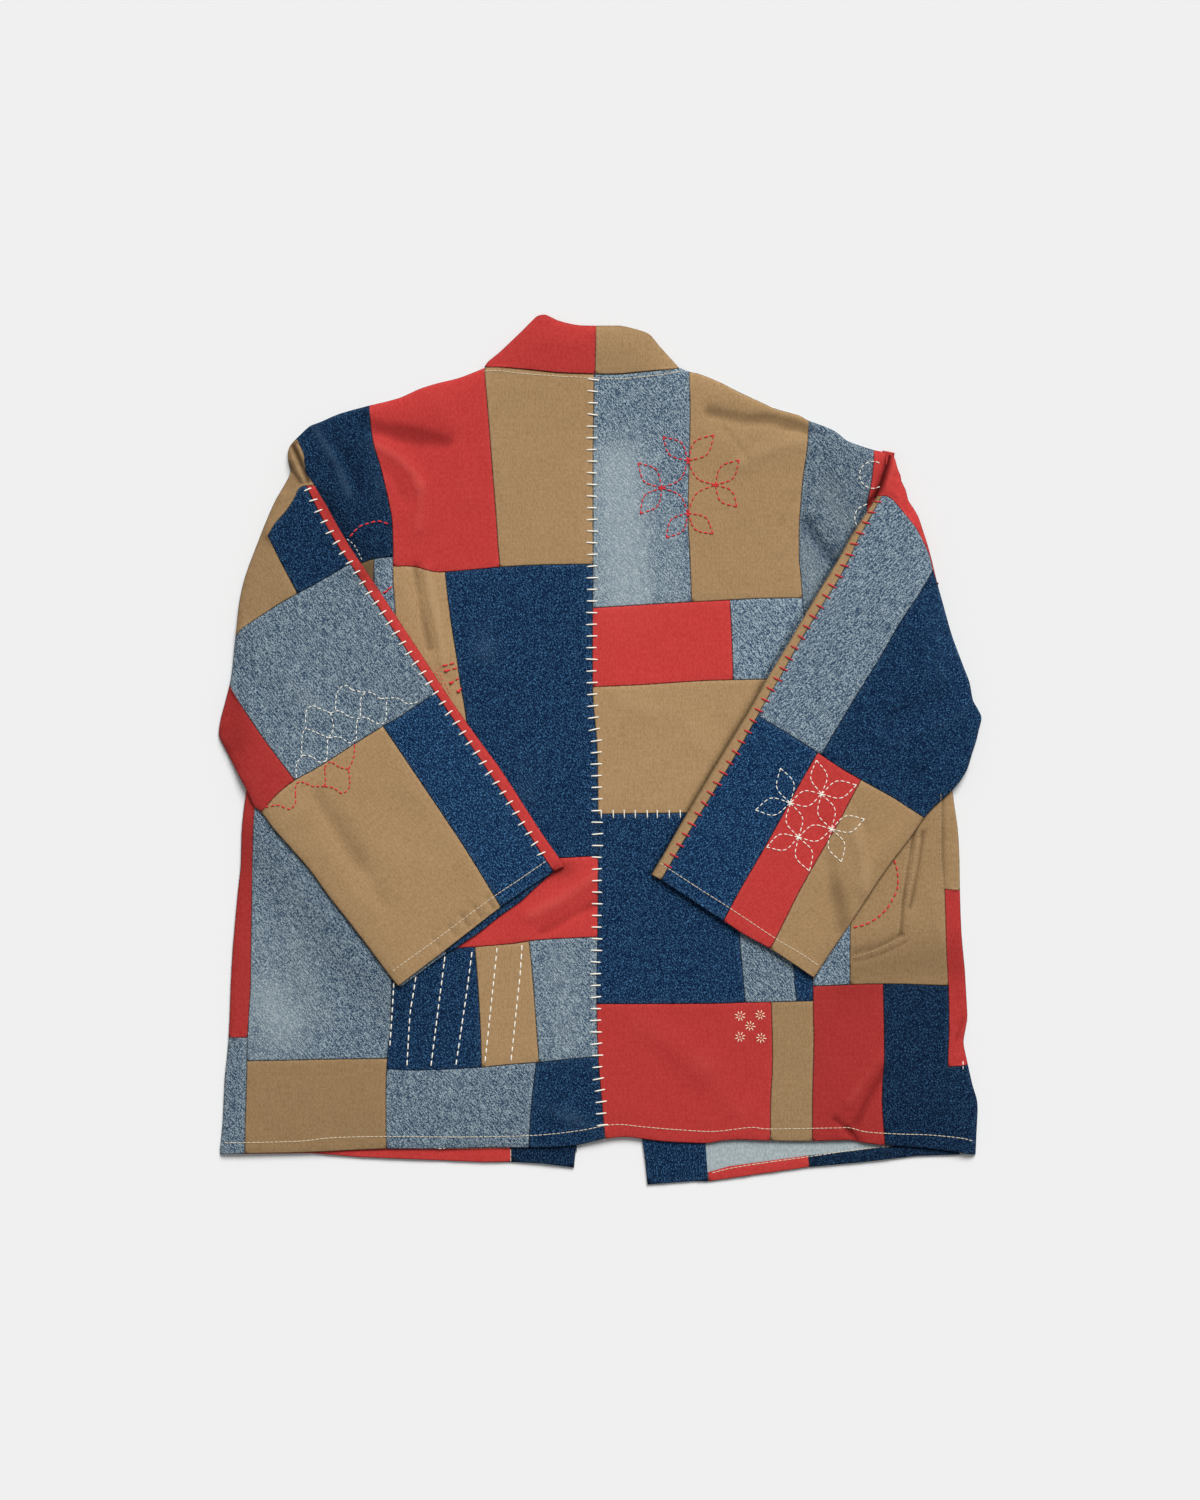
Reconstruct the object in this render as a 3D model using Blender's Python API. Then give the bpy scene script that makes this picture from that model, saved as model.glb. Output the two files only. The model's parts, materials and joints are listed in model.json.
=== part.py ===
"""Patched boro jacket, laid with its back up and both sleeves folded in over the back.

The cloth is built from the floor upwards in five sheets: the fronts, the facings and hem turn-ups on
them, the back with the upper arms, and the under and upper layer of each folded sleeve. Every patch is
a thin closed wall, bounded by the seams that meet round it. Lengths are in millimetres until a mesh is made.
"""

import math

import bpy
import numpy as np
from mathutils import Vector
from mathutils.geometry import delaunay_2d_cdt

METRES = 0.001
CENTRE_BACK = 690.0
NECK_ROW, HEM_ROW = 373, 1139
MIDDLE_COLUMN, MIDDLE_ROW = 600.0, 749.5
SCALE = CENTRE_BACK / (HEM_ROW - NECK_ROW)

CLOTH = 1.4
TRIM = 1.2
COLLAR_CLOTH = 2.4
SEAM_GAP = 0.3
TRIM_LEVEL = CLOTH + SEAM_GAP
EDGE_LEVEL = CLOTH + SEAM_GAP
HEM_LEVEL = TRIM_LEVEL + TRIM + SEAM_GAP
BACK_LEVEL = 4.4
LAYER_GAP = 1.2
UNDER_LEVEL = BACK_LEVEL + CLOTH + LAYER_GAP
UPPER_LEVEL = UNDER_LEVEL + CLOTH + LAYER_GAP
BACK_REACH = 7.0
CREASE_REACH = 8.0
CROWN_REACH = 5.0
HEM_REACH = 30.0
COLLAR_REACH = 10.0

CURVE_STEP = 2.5
OUTLINE_ERROR = 0.12
HEIGHT_ERROR = 0.3
SHORTEST_EDGE = 1.2
LONGEST_EDGE = 34.0
FLAT_OUTLINE_ERROR = 0.5
FLAT_LONGEST_EDGE = 200.0
GRID_STEP = 34.0
CLEAR_OF_POINTS = 11.0
CLEAR_OF_EDGES = 6.0
FOLD_STEP = 22.0
STRIP_STEP = 22.0
STRIP_TURN_STEPS = 3

CLOTHS = {
    "dark_denim": (0.012, 0.048, 0.122),
    "light_denim": (0.165, 0.255, 0.352),
    "tan_twill": (0.402, 0.258, 0.125),
    "red_twill": (0.552, 0.053, 0.048),
}

# The outline of the laid jacket, as columns and rows of the 1200 by 1500 reference view.
SHOULDER_LEFT = [(500, 361), (484, 367.5), (460, 377), (440, 382), (420, 388), (400, 397), (380, 402.5),
                 (369, 405), (340, 413), (320, 421.5), (309, 426)]
CREASE_LEFT = [(300, 434), (295, 439), (290, 445), (287.5, 452), (288, 462), (290, 472), (285, 483),
               (276, 498), (268, 515), (260, 535), (252, 556), (246, 572), (241, 590), (238, 608),
               (235, 636), (233, 655), (230.5, 678), (226, 697), (220.5, 717), (218.2, 733), (220.5, 741),
               (231, 761), (239, 776)]
SIDE_LEFT = [(246, 789), (243.5, 806), (241, 832), (240, 866), (237.5, 888), (235, 915), (232, 950),
             (230, 985), (229, 1015), (227.5, 1045), (224, 1080), (222.5, 1115), (221, 1135), (219.3, 1150),
             (220, 1160)]
SHOULDER_RIGHT = [(672, 361), (681.5, 368), (689, 371), (700, 373.5), (720, 381.5), (740, 392), (760, 401),
                  (775, 408), (790, 412), (800, 415), (809, 420), (830, 428), (840, 434), (847, 440),
                  (860, 445), (874, 449.5), (885, 451.5)]
CREASE_RIGHT = [(892, 453), (895.5, 459), (898, 468), (901, 475), (902, 481), (906, 489), (909, 500),
                (914, 508), (919, 517), (923, 529), (927, 541), (930.5, 553), (934, 567), (938.5, 586),
                (945, 609), (953, 637), (963, 664), (970, 682), (973.5, 700), (979, 710), (982, 718),
                (979.5, 729), (977, 740), (973, 752), (968, 768), (961, 780)]
SIDE_RIGHT = [(953, 790), (955, 806), (958.5, 830), (960, 858), (960.5, 885), (961, 908), (962.5, 940),
              (965.5, 970), (967, 998), (968, 1017), (966, 1030), (964, 1042), (966, 1054), (968.5, 1065),
              (973, 1085), (978, 1103), (977.5, 1125), (976.5, 1145), (976, 1160)]
UNDERARM_LEFT = [(246, 789), (254, 806), (262, 813), (275, 830), (290, 847), (310, 870), (328, 895),
                 (350, 923), (370, 949), (390, 976), (398, 986), (404, 994)]
UNDERARM_RIGHT = [(953, 789.5), (945, 797), (935, 806), (924, 818), (910, 838), (890, 864), (870, 893),
                  (850, 924), (830, 953), (814, 977.5), (808, 986)]

# Every seam and edge runs a little past the seams that end it, so that their crossing is well defined.
SEAMS = {
    "silhouette_left": SHOULDER_LEFT + CREASE_LEFT + SIDE_LEFT,
    "silhouette_right": SHOULDER_RIGHT + CREASE_RIGHT + SIDE_RIGHT,
    "shoulder_left": SHOULDER_LEFT + CREASE_LEFT[:3],
    "shoulder_right": SHOULDER_RIGHT + CREASE_RIGHT[:2],
    "side_left": [(251, 730), (249, 760)] + SIDE_LEFT,
    "side_right": [(946, 730), (950, 765)] + SIDE_RIGHT,
    "sleeve_edge_left": CREASE_LEFT + UNDERARM_LEFT,
    "sleeve_edge_right": [(885, 447)] + CREASE_RIGHT + UNDERARM_RIGHT,
    # Neck and collar
    "neck": [(474, 364.5), (484, 367), (500, 367), (520, 369), (540, 371), (560, 373), (595, 374),
             (620, 374), (640, 372), (660, 370), (680, 368), (692, 366)],
    "collar_edge_left": [(481, 374), (487, 362), (500, 351), (520, 332), (530, 322), (537, 315.5),
                         (545, 314), (552, 317), (560, 320.5), (575, 324), (588, 325), (604, 325)],
    "collar_edge_right": [(588, 325), (604, 325), (620, 325), (632, 327.5), (644, 331), (651, 335),
                          (660, 346), (670, 357), (679, 367), (684, 373)],
    "collar_centre": [(596, 316), (596, 330), (595.5, 350), (595, 372), (595, 380)],
    # Back
    "centre_back": [(594, 362), (594, 380), (593, 460), (593, 565), (592.5, 640), (593, 700), (597, 745),
                    (598, 814), (598, 880), (597.5, 938), (596.5, 1000), (598, 1056), (601, 1092),
                    (603, 1115), (606, 1150)],
    "hem": [(208, 1154.5), (222, 1154.3), (245, 1154), (296, 1153), (330, 1151.5), (385, 1149), (442, 1149),
            (490, 1147.5), (527, 1148), (551, 1147.5), (576, 1145.5), (590, 1142.5), (605, 1139),
            (625, 1137.3), (642, 1139), (660, 1141.5), (685, 1143), (708, 1143.5), (722, 1141), (740, 1140),
            (770, 1141), (813, 1141.5), (848, 1140.5), (857, 1142), (870, 1144), (884, 1145.5),
            (905, 1146.5), (930, 1149), (955, 1152), (974, 1155), (990, 1156)],
    "armhole_left": [(368, 392), (369, 405), (371, 428), (374, 446), (380, 465), (385, 485), (389, 503),
                     (392, 520), (393, 545), (393, 580), (395, 615), (390, 655), (365, 694), (320, 720),
                     (270, 736), (240, 744)],
    "armhole_right": [(811, 405), (809, 420), (808, 440), (806, 457), (803, 477), (801, 500), (799.5, 520),
                      (799, 555), (801, 578), (803, 605), (810, 650), (830, 685), (870, 715), (915, 735),
                      (968, 746)],
    "yoke_seam_left": [(483, 355), (484.5, 369), (486, 390), (489, 425), (492, 465), (496, 515), (498, 545),
                       (500, 567), (501, 580)],
    "yoke_seam_right": [(689, 360), (689.5, 380), (690, 420), (688.5, 480), (688, 520), (690, 560),
                        (691.5, 602), (692, 612)],
    "yoke_bottom_left": [(383, 565), (393, 566.5), (412, 566.5), (424, 569.5), (435, 572), (447, 572),
                         (480, 569), (500, 567), (540, 565), (603, 564)],
    "yoke_bottom_right": [(583, 608), (593, 608), (640, 605), (691, 602), (730, 600), (760, 598.5),
                          (803, 598), (816, 598)],
    "tan_side_left": [(443, 560), (445, 572), (448, 600), (452, 630), (457, 660), (460, 683), (466, 718),
                      (471, 780), (475, 830), (477, 875)],
    "middle_left": [(232, 770), (300, 788), (400, 838), (480, 862), (530, 861), (560, 858), (598, 856),
                    (607, 856)],
    "strip_seam_left": [(256, 765), (254.5, 806), (253, 830), (252, 880), (251, 940), (250.5, 985),
                        (249, 1010), (247.5, 1037), (247, 1060), (246, 1100), (245, 1130), (244.5, 1165)],
    "strip_break_left": [(218, 1037.5), (262, 1037.5)],
    "light_edge_left": [(400, 828), (398, 900), (394, 960), (391.5, 985), (391, 1010), (390.3, 1030),
                        (388, 1046), (387, 1062), (386, 1085), (386, 1120), (386.5, 1165)],
    "hem_patch_top_left": [(236, 1061), (280, 1060.5), (312, 1059.5), (350, 1059), (386, 1058.5),
                           (398, 1058.5)],
    "low_seam_left": [(384, 953), (420, 951), (456, 948), (475, 947), (500, 945), (515, 943.5), (530, 941),
                      (545, 939.5), (575, 938), (598, 937), (608, 936.5)],
    "sashiko_edge_left": [(474, 938), (476, 960), (478, 985), (480, 1020), (481, 1045), (482, 1080)],
    "tan_edge_left": [(528, 932), (531, 960), (534.5, 1000), (537, 1035), (539, 1062), (540, 1074)],
    "sashiko_bottom": [(376, 1068.5), (387, 1069), (412, 1070.3), (430, 1070), (455, 1069), (482, 1067.2),
                       (510, 1064.5), (539, 1062.3), (575, 1058.5), (598, 1056.5), (610, 1056)],
    "dark_hem_edge_left": [(537, 1052), (536, 1064), (533, 1088), (530.5, 1115), (529, 1140), (528.5, 1160)],
    "red_light_seam": [(729.5, 588), (730, 602), (732, 640), (733, 680), (733, 692)],
    "red_bottom_right": [(582, 687.5), (593, 687), (640, 685), (700, 681), (733, 680), (780, 679),
                         (838, 678)],
    "tan_bottom_right": [(586, 814.5), (640, 813.5), (685, 813), (760, 812), (862, 811)],
    "dark_edge_right": [(734, 800), (737, 880), (740, 942), (743, 975), (745, 1001), (745, 1014)],
    "low_seam_right": [(586, 1004), (660, 1003.8), (715, 1003.5), (745, 1002.5), (771, 1002), (813, 1001),
                       (824, 1001)],
    "light_strip_edge": [(790, 800), (792, 900), (794, 975), (797, 1001), (798, 1014)],
    "dark_strip_edge": [(813, 800), (813, 1000), (813.7, 1030), (813.5, 1055), (812.5, 1090),
                        (812.3, 1120), (812.3, 1155)],
    "pocket_edge": [(850, 690), (850, 850), (850, 925), (850, 998)],
    "pocket_bottom": [(802, 986.3), (830, 985.5), (850, 984.5), (868, 984), (905, 984), (930, 985),
                      (948, 985.5), (962, 986)],
    "side_patch_bottom": [(934, 889), (945, 889.3), (960, 890.5), (974, 892)],
    "strip_seam_right": [(944.5, 878), (945, 892), (945.7, 920), (946.5, 950), (948.3, 985), (949, 1005),
                         (949, 1030), (948, 1055), (947.6, 1078)],
    "strip_bottom_right": [(937, 1066.6), (948, 1066.5), (958, 1066), (968, 1064.7), (980, 1063)],
    "red_hem_edge": [(771, 990), (771.5, 1010), (772.5, 1050), (772.3, 1072), (771, 1092), (770.5, 1115),
                     (770.5, 1155)],
    "dark_hem_edge_right": [(883, 972), (883.3, 995), (884, 1030), (884, 1062), (882.5, 1082), (882, 1100),
                            (883, 1120), (885, 1143), (885.5, 1158)],
    # Upper arms
    "upper_break_left": [(232, 642), (300, 603), (350, 568), (362, 563), (375, 559), (392, 557), (403, 556)],
    "upper_tan_edge": [(374.5, 545), (374, 560), (373.5, 580), (373, 640), (372, 700)],
    "arm_edge_left": [(288, 432), (297, 441), (302, 452), (301, 470), (293, 490), (282, 510), (272, 535),
                      (263, 560), (254, 590), (248, 620), (245, 650), (242, 680), (238, 706), (240, 728),
                      (250, 752)],
    "upper_seam_right": [(874.3, 438), (874, 455), (873, 468), (871, 484), (867, 508), (868, 530),
                         (885, 565), (908, 590), (940, 606)],
    "arm_edge_right": [(889, 440), (886, 452), (887, 470), (892, 490), (903, 513), (911, 533), (918, 555),
                       (925, 585), (932, 612), (941, 640), (951, 668), (959, 690), (965, 706), (967, 720),
                       (962, 738), (954, 760)],
    # Left sleeve, upper layer
    "crown_top_left": [(287, 431), (295, 438.5), (301, 447), (304.5, 456), (305, 465), (308, 475),
                       (316, 486.5), (322, 493)],
    "fold_left": [(307, 476), (316, 487), (324, 500), (345, 538), (358, 558), (372, 579), (400, 622),
                  (420, 652), (440, 683), (453, 703), (480, 741), (500, 768), (520, 799), (540, 830),
                  (565, 866), (573, 878)],
    "fold_seam_left": [(299, 473), (306.5, 486), (314, 502), (324, 521), (338, 546), (352, 566),
                       (370, 594), (400, 640), (420, 670), (441, 701), (470, 744), (496, 783),
                       (515, 812), (540, 851), (554, 872), (561, 883)],
    "crown_seam_left": [(322, 486), (306, 486), (299, 490), (294, 500), (286, 512), (276, 523), (268, 536),
                        (261, 548)],
    "wedge_seam_left": [(262, 525), (268, 536), (280, 560), (298, 594), (304, 606)],
    "wedge_bottom_left": [(226, 643), (236, 636), (243, 628), (260, 617), (280, 604), (298, 594),
                          (320, 582), (349, 565), (362, 557)],
    "elbow_edge_left": [(222, 673), (231, 688), (240, 703), (260, 733), (280, 760), (295, 780), (302, 790)],
    "cuff_seam_left": [(252, 820), (262, 811.5), (278, 794), (295, 780.5), (320, 766.5), (355, 744),
                       (383, 726.5), (400, 717), (434, 694.5), (448, 686)],
    "cuff_split_left": [(377, 716), (383, 726), (400, 751), (433, 800), (467, 851), (501, 907), (507, 917)],
    "cuff_left": [(386, 995), (398, 986), (430, 962), (470, 931), (501, 907), (530, 887), (554, 871.5),
                  (565, 866), (577, 861)],
    # Left sleeve, under layer
    "under_edge_left": [(322, 486), (306, 497), (290, 512), (281, 530), (272, 552), (262, 580), (254, 610),
                        (249, 640), (246, 670), (241, 700), (239, 725), (247, 748), (258, 775), (266, 800),
                        (276, 822), (292, 843), (312, 870), (330, 895), (352, 923), (372, 949), (392, 976),
                        (408, 996)],
    "under_cuff_left": [(390, 994), (405, 984), (421, 972), (447, 953), (456, 948), (480, 932), (500, 916),
                        (520, 902), (535, 888), (552, 873), (566, 861)],
    "under_split_left": [(456, 968), (447, 953.5), (430, 925), (400, 880), (340, 787), (290, 710),
                         (255, 655), (235, 625)],
    # Right sleeve, upper layer
    "crown_top_right": [(894, 443), (890.5, 453), (886, 466), (880, 483), (874, 498), (868, 508),
                        (862, 518)],
    "fold_right": [(886, 478), (877, 496), (862, 519), (847, 542), (838, 560), (825, 581), (812, 602),
                   (790, 640), (766, 680), (740, 725), (718, 760), (697, 795), (680, 824), (662, 856),
                   (651, 874.5), (645, 885)],
    "fold_seam_right": [(894, 472), (881, 497), (869, 519), (857, 541), (848, 561), (838, 580), (824, 602),
                        (800, 641), (780, 677), (765, 702), (740, 747), (717, 786), (690, 830), (661, 880),
                        (655, 890)],
    "crown_seam_right": [(862, 499), (876, 496.5), (885, 496.5), (892, 500), (900, 509), (908, 518.5),
                         (916, 529), (923, 542), (929, 555), (932, 567), (936, 579), (941, 592)],
    "light_edge_right": [(939, 559), (932, 571), (920, 592), (900, 622), (880, 657), (860, 689), (840, 722),
                         (821, 755), (815, 766)],
    "elbow_seam_right": [(742, 706), (760, 717.5), (780, 729), (800, 741.5), (821, 755), (840, 768),
                         (860, 779.5), (880, 790.5), (895, 799), (910, 809), (924, 818), (935, 826)],
    "dark_cuff_edge": [(824, 741), (812, 762), (801, 781), (784, 812), (760, 855), (740, 889), (723, 921),
                       (718, 931)],
    "tan_cuff_edge": [(867, 768), (852, 796), (838, 823), (820, 854), (800, 889), (785, 919), (770, 948.5),
                      (765, 959)],
    "cuff_right": [(641, 867), (651, 874.3), (661, 880), (690, 899), (723, 920.5), (745, 935), (770, 948.5),
                   (795, 965), (814, 977.5), (824, 984)],
    # Right sleeve, under layer
    "under_edge_right": [(862, 497), (880, 508), (893, 524), (903, 543), (912, 565), (920, 590),
                         (929, 618), (938, 645), (948, 670), (956, 690), (961, 710), (960, 730),
                         (952, 750), (942, 768), (932, 785), (920, 803), (905, 830), (888, 863),
                         (868, 892), (848, 923), (828, 952), (806, 985)],
    "under_cuff_right": [(645, 862), (664, 873), (690, 890), (723, 912), (745, 926), (770, 940),
                         (795, 956), (822, 975)],
    # Fronts
    "front_edge_left": [(573.5, 1180), (574.5, 1163), (576, 1148), (577, 1120), (577, 800), (568, 640),
                        (540, 510), (505, 410), (478, 368), (472, 358)],
    "front_edge_right": [(648, 1196), (647, 1180), (645, 1160), (642, 1140), (640, 1100), (640, 800),
                         (646, 640), (662, 500), (677, 420), (688, 370), (691, 356)],
    "front_hem_left": [(208, 1155), (222, 1154.8), (245, 1154.6), (296, 1154), (317, 1154), (345, 1157),
                       (391, 1159), (450, 1161.5), (490, 1163), (512, 1162.5), (540, 1164), (560, 1166.3),
                       (572, 1168), (584, 1169)],
    "front_hem_right": [(636, 1186), (650, 1185), (680, 1182.7), (700, 1181.6), (712, 1182), (725, 1179.5),
                        (740, 1177), (770, 1173.3), (809, 1167.7), (840, 1165), (870, 1162), (900, 1158.3),
                        (920, 1156.3), (940, 1155.3), (974, 1155.2), (990, 1156)],
    "facing_left": [(505, 605), (510, 700), (512, 800), (512, 1100), (511, 1150), (511.5, 1175)],
    "facing_right": [(710, 605), (705, 700), (703, 800), (703, 1100), (705.5, 1140), (708, 1173),
                     (709, 1192)],
    "facing_top_left": [(490, 622), (590, 620)],
    "facing_top_right": [(630, 620), (725, 622)],
    "turnup_top_left": [(222, 1139), (300, 1140), (400, 1143), (524, 1146)],
    "turnup_end_left": [(234, 1128), (234, 1166)],
    "turnup_top_right": [(696, 1175), (709, 1172.3), (725, 1167.3), (740, 1165), (770, 1161), (809, 1155.7),
                         (830, 1153.3), (850, 1151.7), (870, 1149), (890, 1146.5), (930, 1144), (975, 1141)],
    "turnup_split": [(807.5, 1146), (808.5, 1156), (809.7, 1168), (810, 1178)],
    "turnup_end_right": [(960, 1128), (960, 1168)],
}

# The largest folds: where each runs, how wide it is, and how far it rises or sinks, in millimetres.
BACK_FOLDS = [
    ((425, 585), (436, 690), 7, -1.2),
    ((405, 590), (412, 640), 8, 1.0),
    ((378, 432), (420, 432), 9, -1.0),
    ((395, 462), (425, 500), 9, 1.1),
    ((712, 420), (800, 424), 9, -1.2),
    ((720, 440), (790, 446), 10, 0.9),
    ((812, 540), (826, 585), 7, -1.1),
    ((505, 925), (590, 872), 8, 1.2),
    ((515, 938), (592, 905), 7, -0.9),
    ((848, 1130), (882, 1062), 8, 1.3),
    ((846, 1128), (852, 1138), 4, -1.2),
    ((640, 1015), (700, 1060), 14, 0.9),
]
SLEEVE_FOLDS = [
    ((842, 850), (836, 920), 8, -1.2),
    ((862, 850), (852, 905), 9, 0.9),
    ((290, 450), (304, 480), 3, -1.6),
    ((891, 455), (884, 474), 3, -1.6),
]

# Each patch: its cloth, the sheet that it belongs to, and the seams round it in order.
PATCHES = {
    "back_left_red_yoke": ("red_twill", "back",
                           "shoulder_left yoke_seam_left yoke_bottom_left armhole_left"),
    "back_left_tan_yoke": ("tan_twill", "back", "neck centre_back yoke_bottom_left yoke_seam_left"),
    "back_left_tan_side": ("tan_twill", "back",
                           "yoke_bottom_left tan_side_left middle_left side_left armhole_left"),
    "back_left_dark_centre": ("dark_denim", "back",
                              "yoke_bottom_left centre_back middle_left tan_side_left"),
    "back_left_red_low": ("red_twill", "back", "middle_left centre_back low_seam_left light_edge_left"),
    "back_left_light_side": ("light_denim", "back",
                             "middle_left light_edge_left hem_patch_top_left strip_seam_left"),
    "back_left_dark_sashiko": ("dark_denim", "back",
                               "low_seam_left sashiko_edge_left sashiko_bottom light_edge_left"),
    "back_left_tan_sashiko": ("tan_twill", "back",
                              "low_seam_left tan_edge_left sashiko_bottom sashiko_edge_left"),
    "back_left_light_low": ("light_denim", "back", "low_seam_left centre_back sashiko_bottom tan_edge_left"),
    "back_left_tan_hem": ("tan_twill", "back", "hem_patch_top_left light_edge_left hem strip_seam_left"),
    "back_left_light_hem": ("light_denim", "back", "sashiko_bottom dark_hem_edge_left hem light_edge_left"),
    "back_left_dark_hem": ("dark_denim", "back", "sashiko_bottom centre_back hem dark_hem_edge_left"),
    "back_left_red_strip": ("red_twill", "back", "middle_left strip_seam_left strip_break_left side_left"),
    "back_left_light_strip": ("light_denim", "back", "strip_break_left strip_seam_left hem side_left"),
    "back_right_light_yoke": ("light_denim", "back",
                              "neck shoulder_right yoke_seam_right yoke_bottom_right centre_back"),
    "back_right_tan_yoke": ("tan_twill", "back",
                            "shoulder_right armhole_right yoke_bottom_right yoke_seam_right"),
    "back_right_red_middle": ("red_twill", "back",
                              "yoke_bottom_right red_light_seam red_bottom_right centre_back"),
    "back_right_light_middle": ("light_denim", "back",
                                "yoke_bottom_right armhole_right red_bottom_right red_light_seam"),
    "back_right_tan_middle": ("tan_twill", "back",
                              "red_bottom_right armhole_right pocket_edge tan_bottom_right centre_back"),
    "back_right_dark_centre": ("dark_denim", "back",
                               "tan_bottom_right dark_edge_right low_seam_right centre_back"),
    "back_right_light_strip": ("light_denim", "back",
                               "tan_bottom_right light_strip_edge low_seam_right dark_edge_right"),
    "back_right_dark_strip": ("dark_denim", "back",
                              "tan_bottom_right dark_strip_edge low_seam_right light_strip_edge"),
    "back_right_light_small": ("light_denim", "back",
                               "tan_bottom_right pocket_edge pocket_bottom dark_strip_edge"),
    "back_right_red_hem": ("red_twill", "back", "low_seam_right red_hem_edge hem centre_back"),
    "back_right_tan_hem": ("tan_twill", "back", "low_seam_right dark_strip_edge hem red_hem_edge"),
    "back_right_red_corner": ("red_twill", "back", "pocket_bottom dark_hem_edge_right hem dark_strip_edge"),
    "back_right_red_strip": ("red_twill", "back",
                             "side_patch_bottom side_right strip_bottom_right strip_seam_right"),
    "back_right_tan_pocket": ("tan_twill", "back",
                              "armhole_right side_right side_patch_bottom strip_seam_right pocket_bottom"
                              " pocket_edge"),
    "back_right_dark_hem": ("dark_denim", "back",
                            "pocket_bottom strip_seam_right strip_bottom_right side_right hem"
                            " dark_hem_edge_right"),
    "collar_left_red": ("red_twill", "collar", "collar_edge_left collar_centre neck"),
    "collar_right_tan": ("tan_twill", "collar", "collar_edge_right neck collar_centre"),
    "sleeve_left_upper_dark": ("dark_denim", "back",
                               "shoulder_left armhole_left upper_break_left arm_edge_left"),
    "sleeve_left_upper_tan": ("tan_twill", "back",
                              "upper_break_left upper_tan_edge armhole_left arm_edge_left"),
    "sleeve_left_upper_light": ("light_denim", "back", "upper_break_left armhole_left upper_tan_edge"),
    "sleeve_right_upper_light": ("light_denim", "back",
                                 "shoulder_right upper_seam_right arm_edge_right armhole_right"),
    "sleeve_right_upper_red": ("red_twill", "back", "shoulder_right arm_edge_right upper_seam_right"),
    "sleeve_left_tan_crown": ("tan_twill", "upper",
                              "sleeve_edge_left wedge_bottom_left wedge_seam_left crown_seam_left"
                              " crown_top_left"),
    "sleeve_left_dark": ("dark_denim", "upper",
                         "crown_seam_left wedge_seam_left wedge_bottom_left fold_seam_left"),
    "sleeve_left_light": ("light_denim", "upper",
                          "wedge_bottom_left sleeve_edge_left elbow_edge_left cuff_seam_left"
                          " fold_seam_left"),
    "sleeve_left_red_elbow": ("red_twill", "upper", "elbow_edge_left sleeve_edge_left cuff_seam_left"),
    "sleeve_left_tan_cuff": ("tan_twill", "upper",
                             "cuff_seam_left sleeve_edge_left cuff_left cuff_split_left"),
    "sleeve_left_dark_cuff": ("dark_denim", "upper",
                              "cuff_seam_left cuff_split_left cuff_left fold_seam_left"),
    "sleeve_right_red_crown": ("red_twill", "upper", "crown_top_right sleeve_edge_right crown_seam_right"),
    "sleeve_right_light": ("light_denim", "upper",
                           "crown_seam_right light_edge_right elbow_seam_right fold_seam_right"),
    "sleeve_right_dark": ("dark_denim", "upper",
                          "crown_seam_right sleeve_edge_right elbow_seam_right light_edge_right"),
    "sleeve_right_dark_cuff": ("dark_denim", "upper",
                               "elbow_seam_right dark_cuff_edge cuff_right fold_seam_right"),
    "sleeve_right_red": ("red_twill", "upper", "elbow_seam_right tan_cuff_edge cuff_right dark_cuff_edge"),
    "sleeve_right_tan_cuff": ("tan_twill", "upper",
                              "elbow_seam_right sleeve_edge_right cuff_right tan_cuff_edge"),
    "sleeve_left_under_light": ("light_denim", "under", "under_edge_left under_split_left under_cuff_left"),
    "sleeve_left_under_dark": ("dark_denim", "under",
                               "under_edge_left fold_seam_left under_cuff_left under_split_left"),
    "sleeve_right_under_dark": ("dark_denim", "under", "under_edge_right fold_seam_right under_cuff_right"),
    "front_left": ("light_denim", "front", "silhouette_left front_hem_left front_edge_left"),
    "front_right": ("light_denim", "front", "silhouette_right front_hem_right front_edge_right"),
    "facing_left": ("dark_denim", "trim", "facing_top_left front_edge_left front_hem_left facing_left"),
    "facing_right": ("dark_denim", "trim", "facing_top_right facing_right front_hem_right front_edge_right"),
    "turnup_left_red": ("red_twill", "trim", "turnup_top_left facing_left front_hem_left turnup_end_left"),
    "turnup_right_red": ("red_twill", "trim", "turnup_top_right turnup_split front_hem_right facing_right"),
    "turnup_right_dark": ("dark_denim", "trim",
                          "turnup_top_right turnup_end_right front_hem_right turnup_split"),
}


def clear_scene():
    for item in list(bpy.data.objects):
        bpy.data.objects.remove(item)


def placed(points):
    """Columns and rows of the reference view as millimetres on the table, with the middle at the origin."""
    points = np.asarray(points, float)
    return np.stack([points[:, 0] - MIDDLE_COLUMN, MIDDLE_ROW - points[:, 1]], axis=1) * SCALE


def curve_through(points):
    """A Catmull-Rom curve through the points, as short steps."""
    points = placed(points)
    padded = np.vstack([2 * points[0] - points[1], points, 2 * points[-1] - points[-2]])
    steps = []
    for before, start, end, after in zip(padded, padded[1:], padded[2:], padded[3:]):
        count = max(2, math.ceil(np.linalg.norm(end - start) / CURVE_STEP))
        t = np.arange(count)[:, None] / count
        steps.append(0.5 * (2 * start + (end - before) * t
                            + (2 * before - 5 * start + 4 * end - after) * t**2
                            + (3 * start - before - 3 * end + after) * t**3))
    return np.vstack(steps + [points[-1:]])


CURVES = {name: curve_through(points) for name, points in SEAMS.items()}


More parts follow.
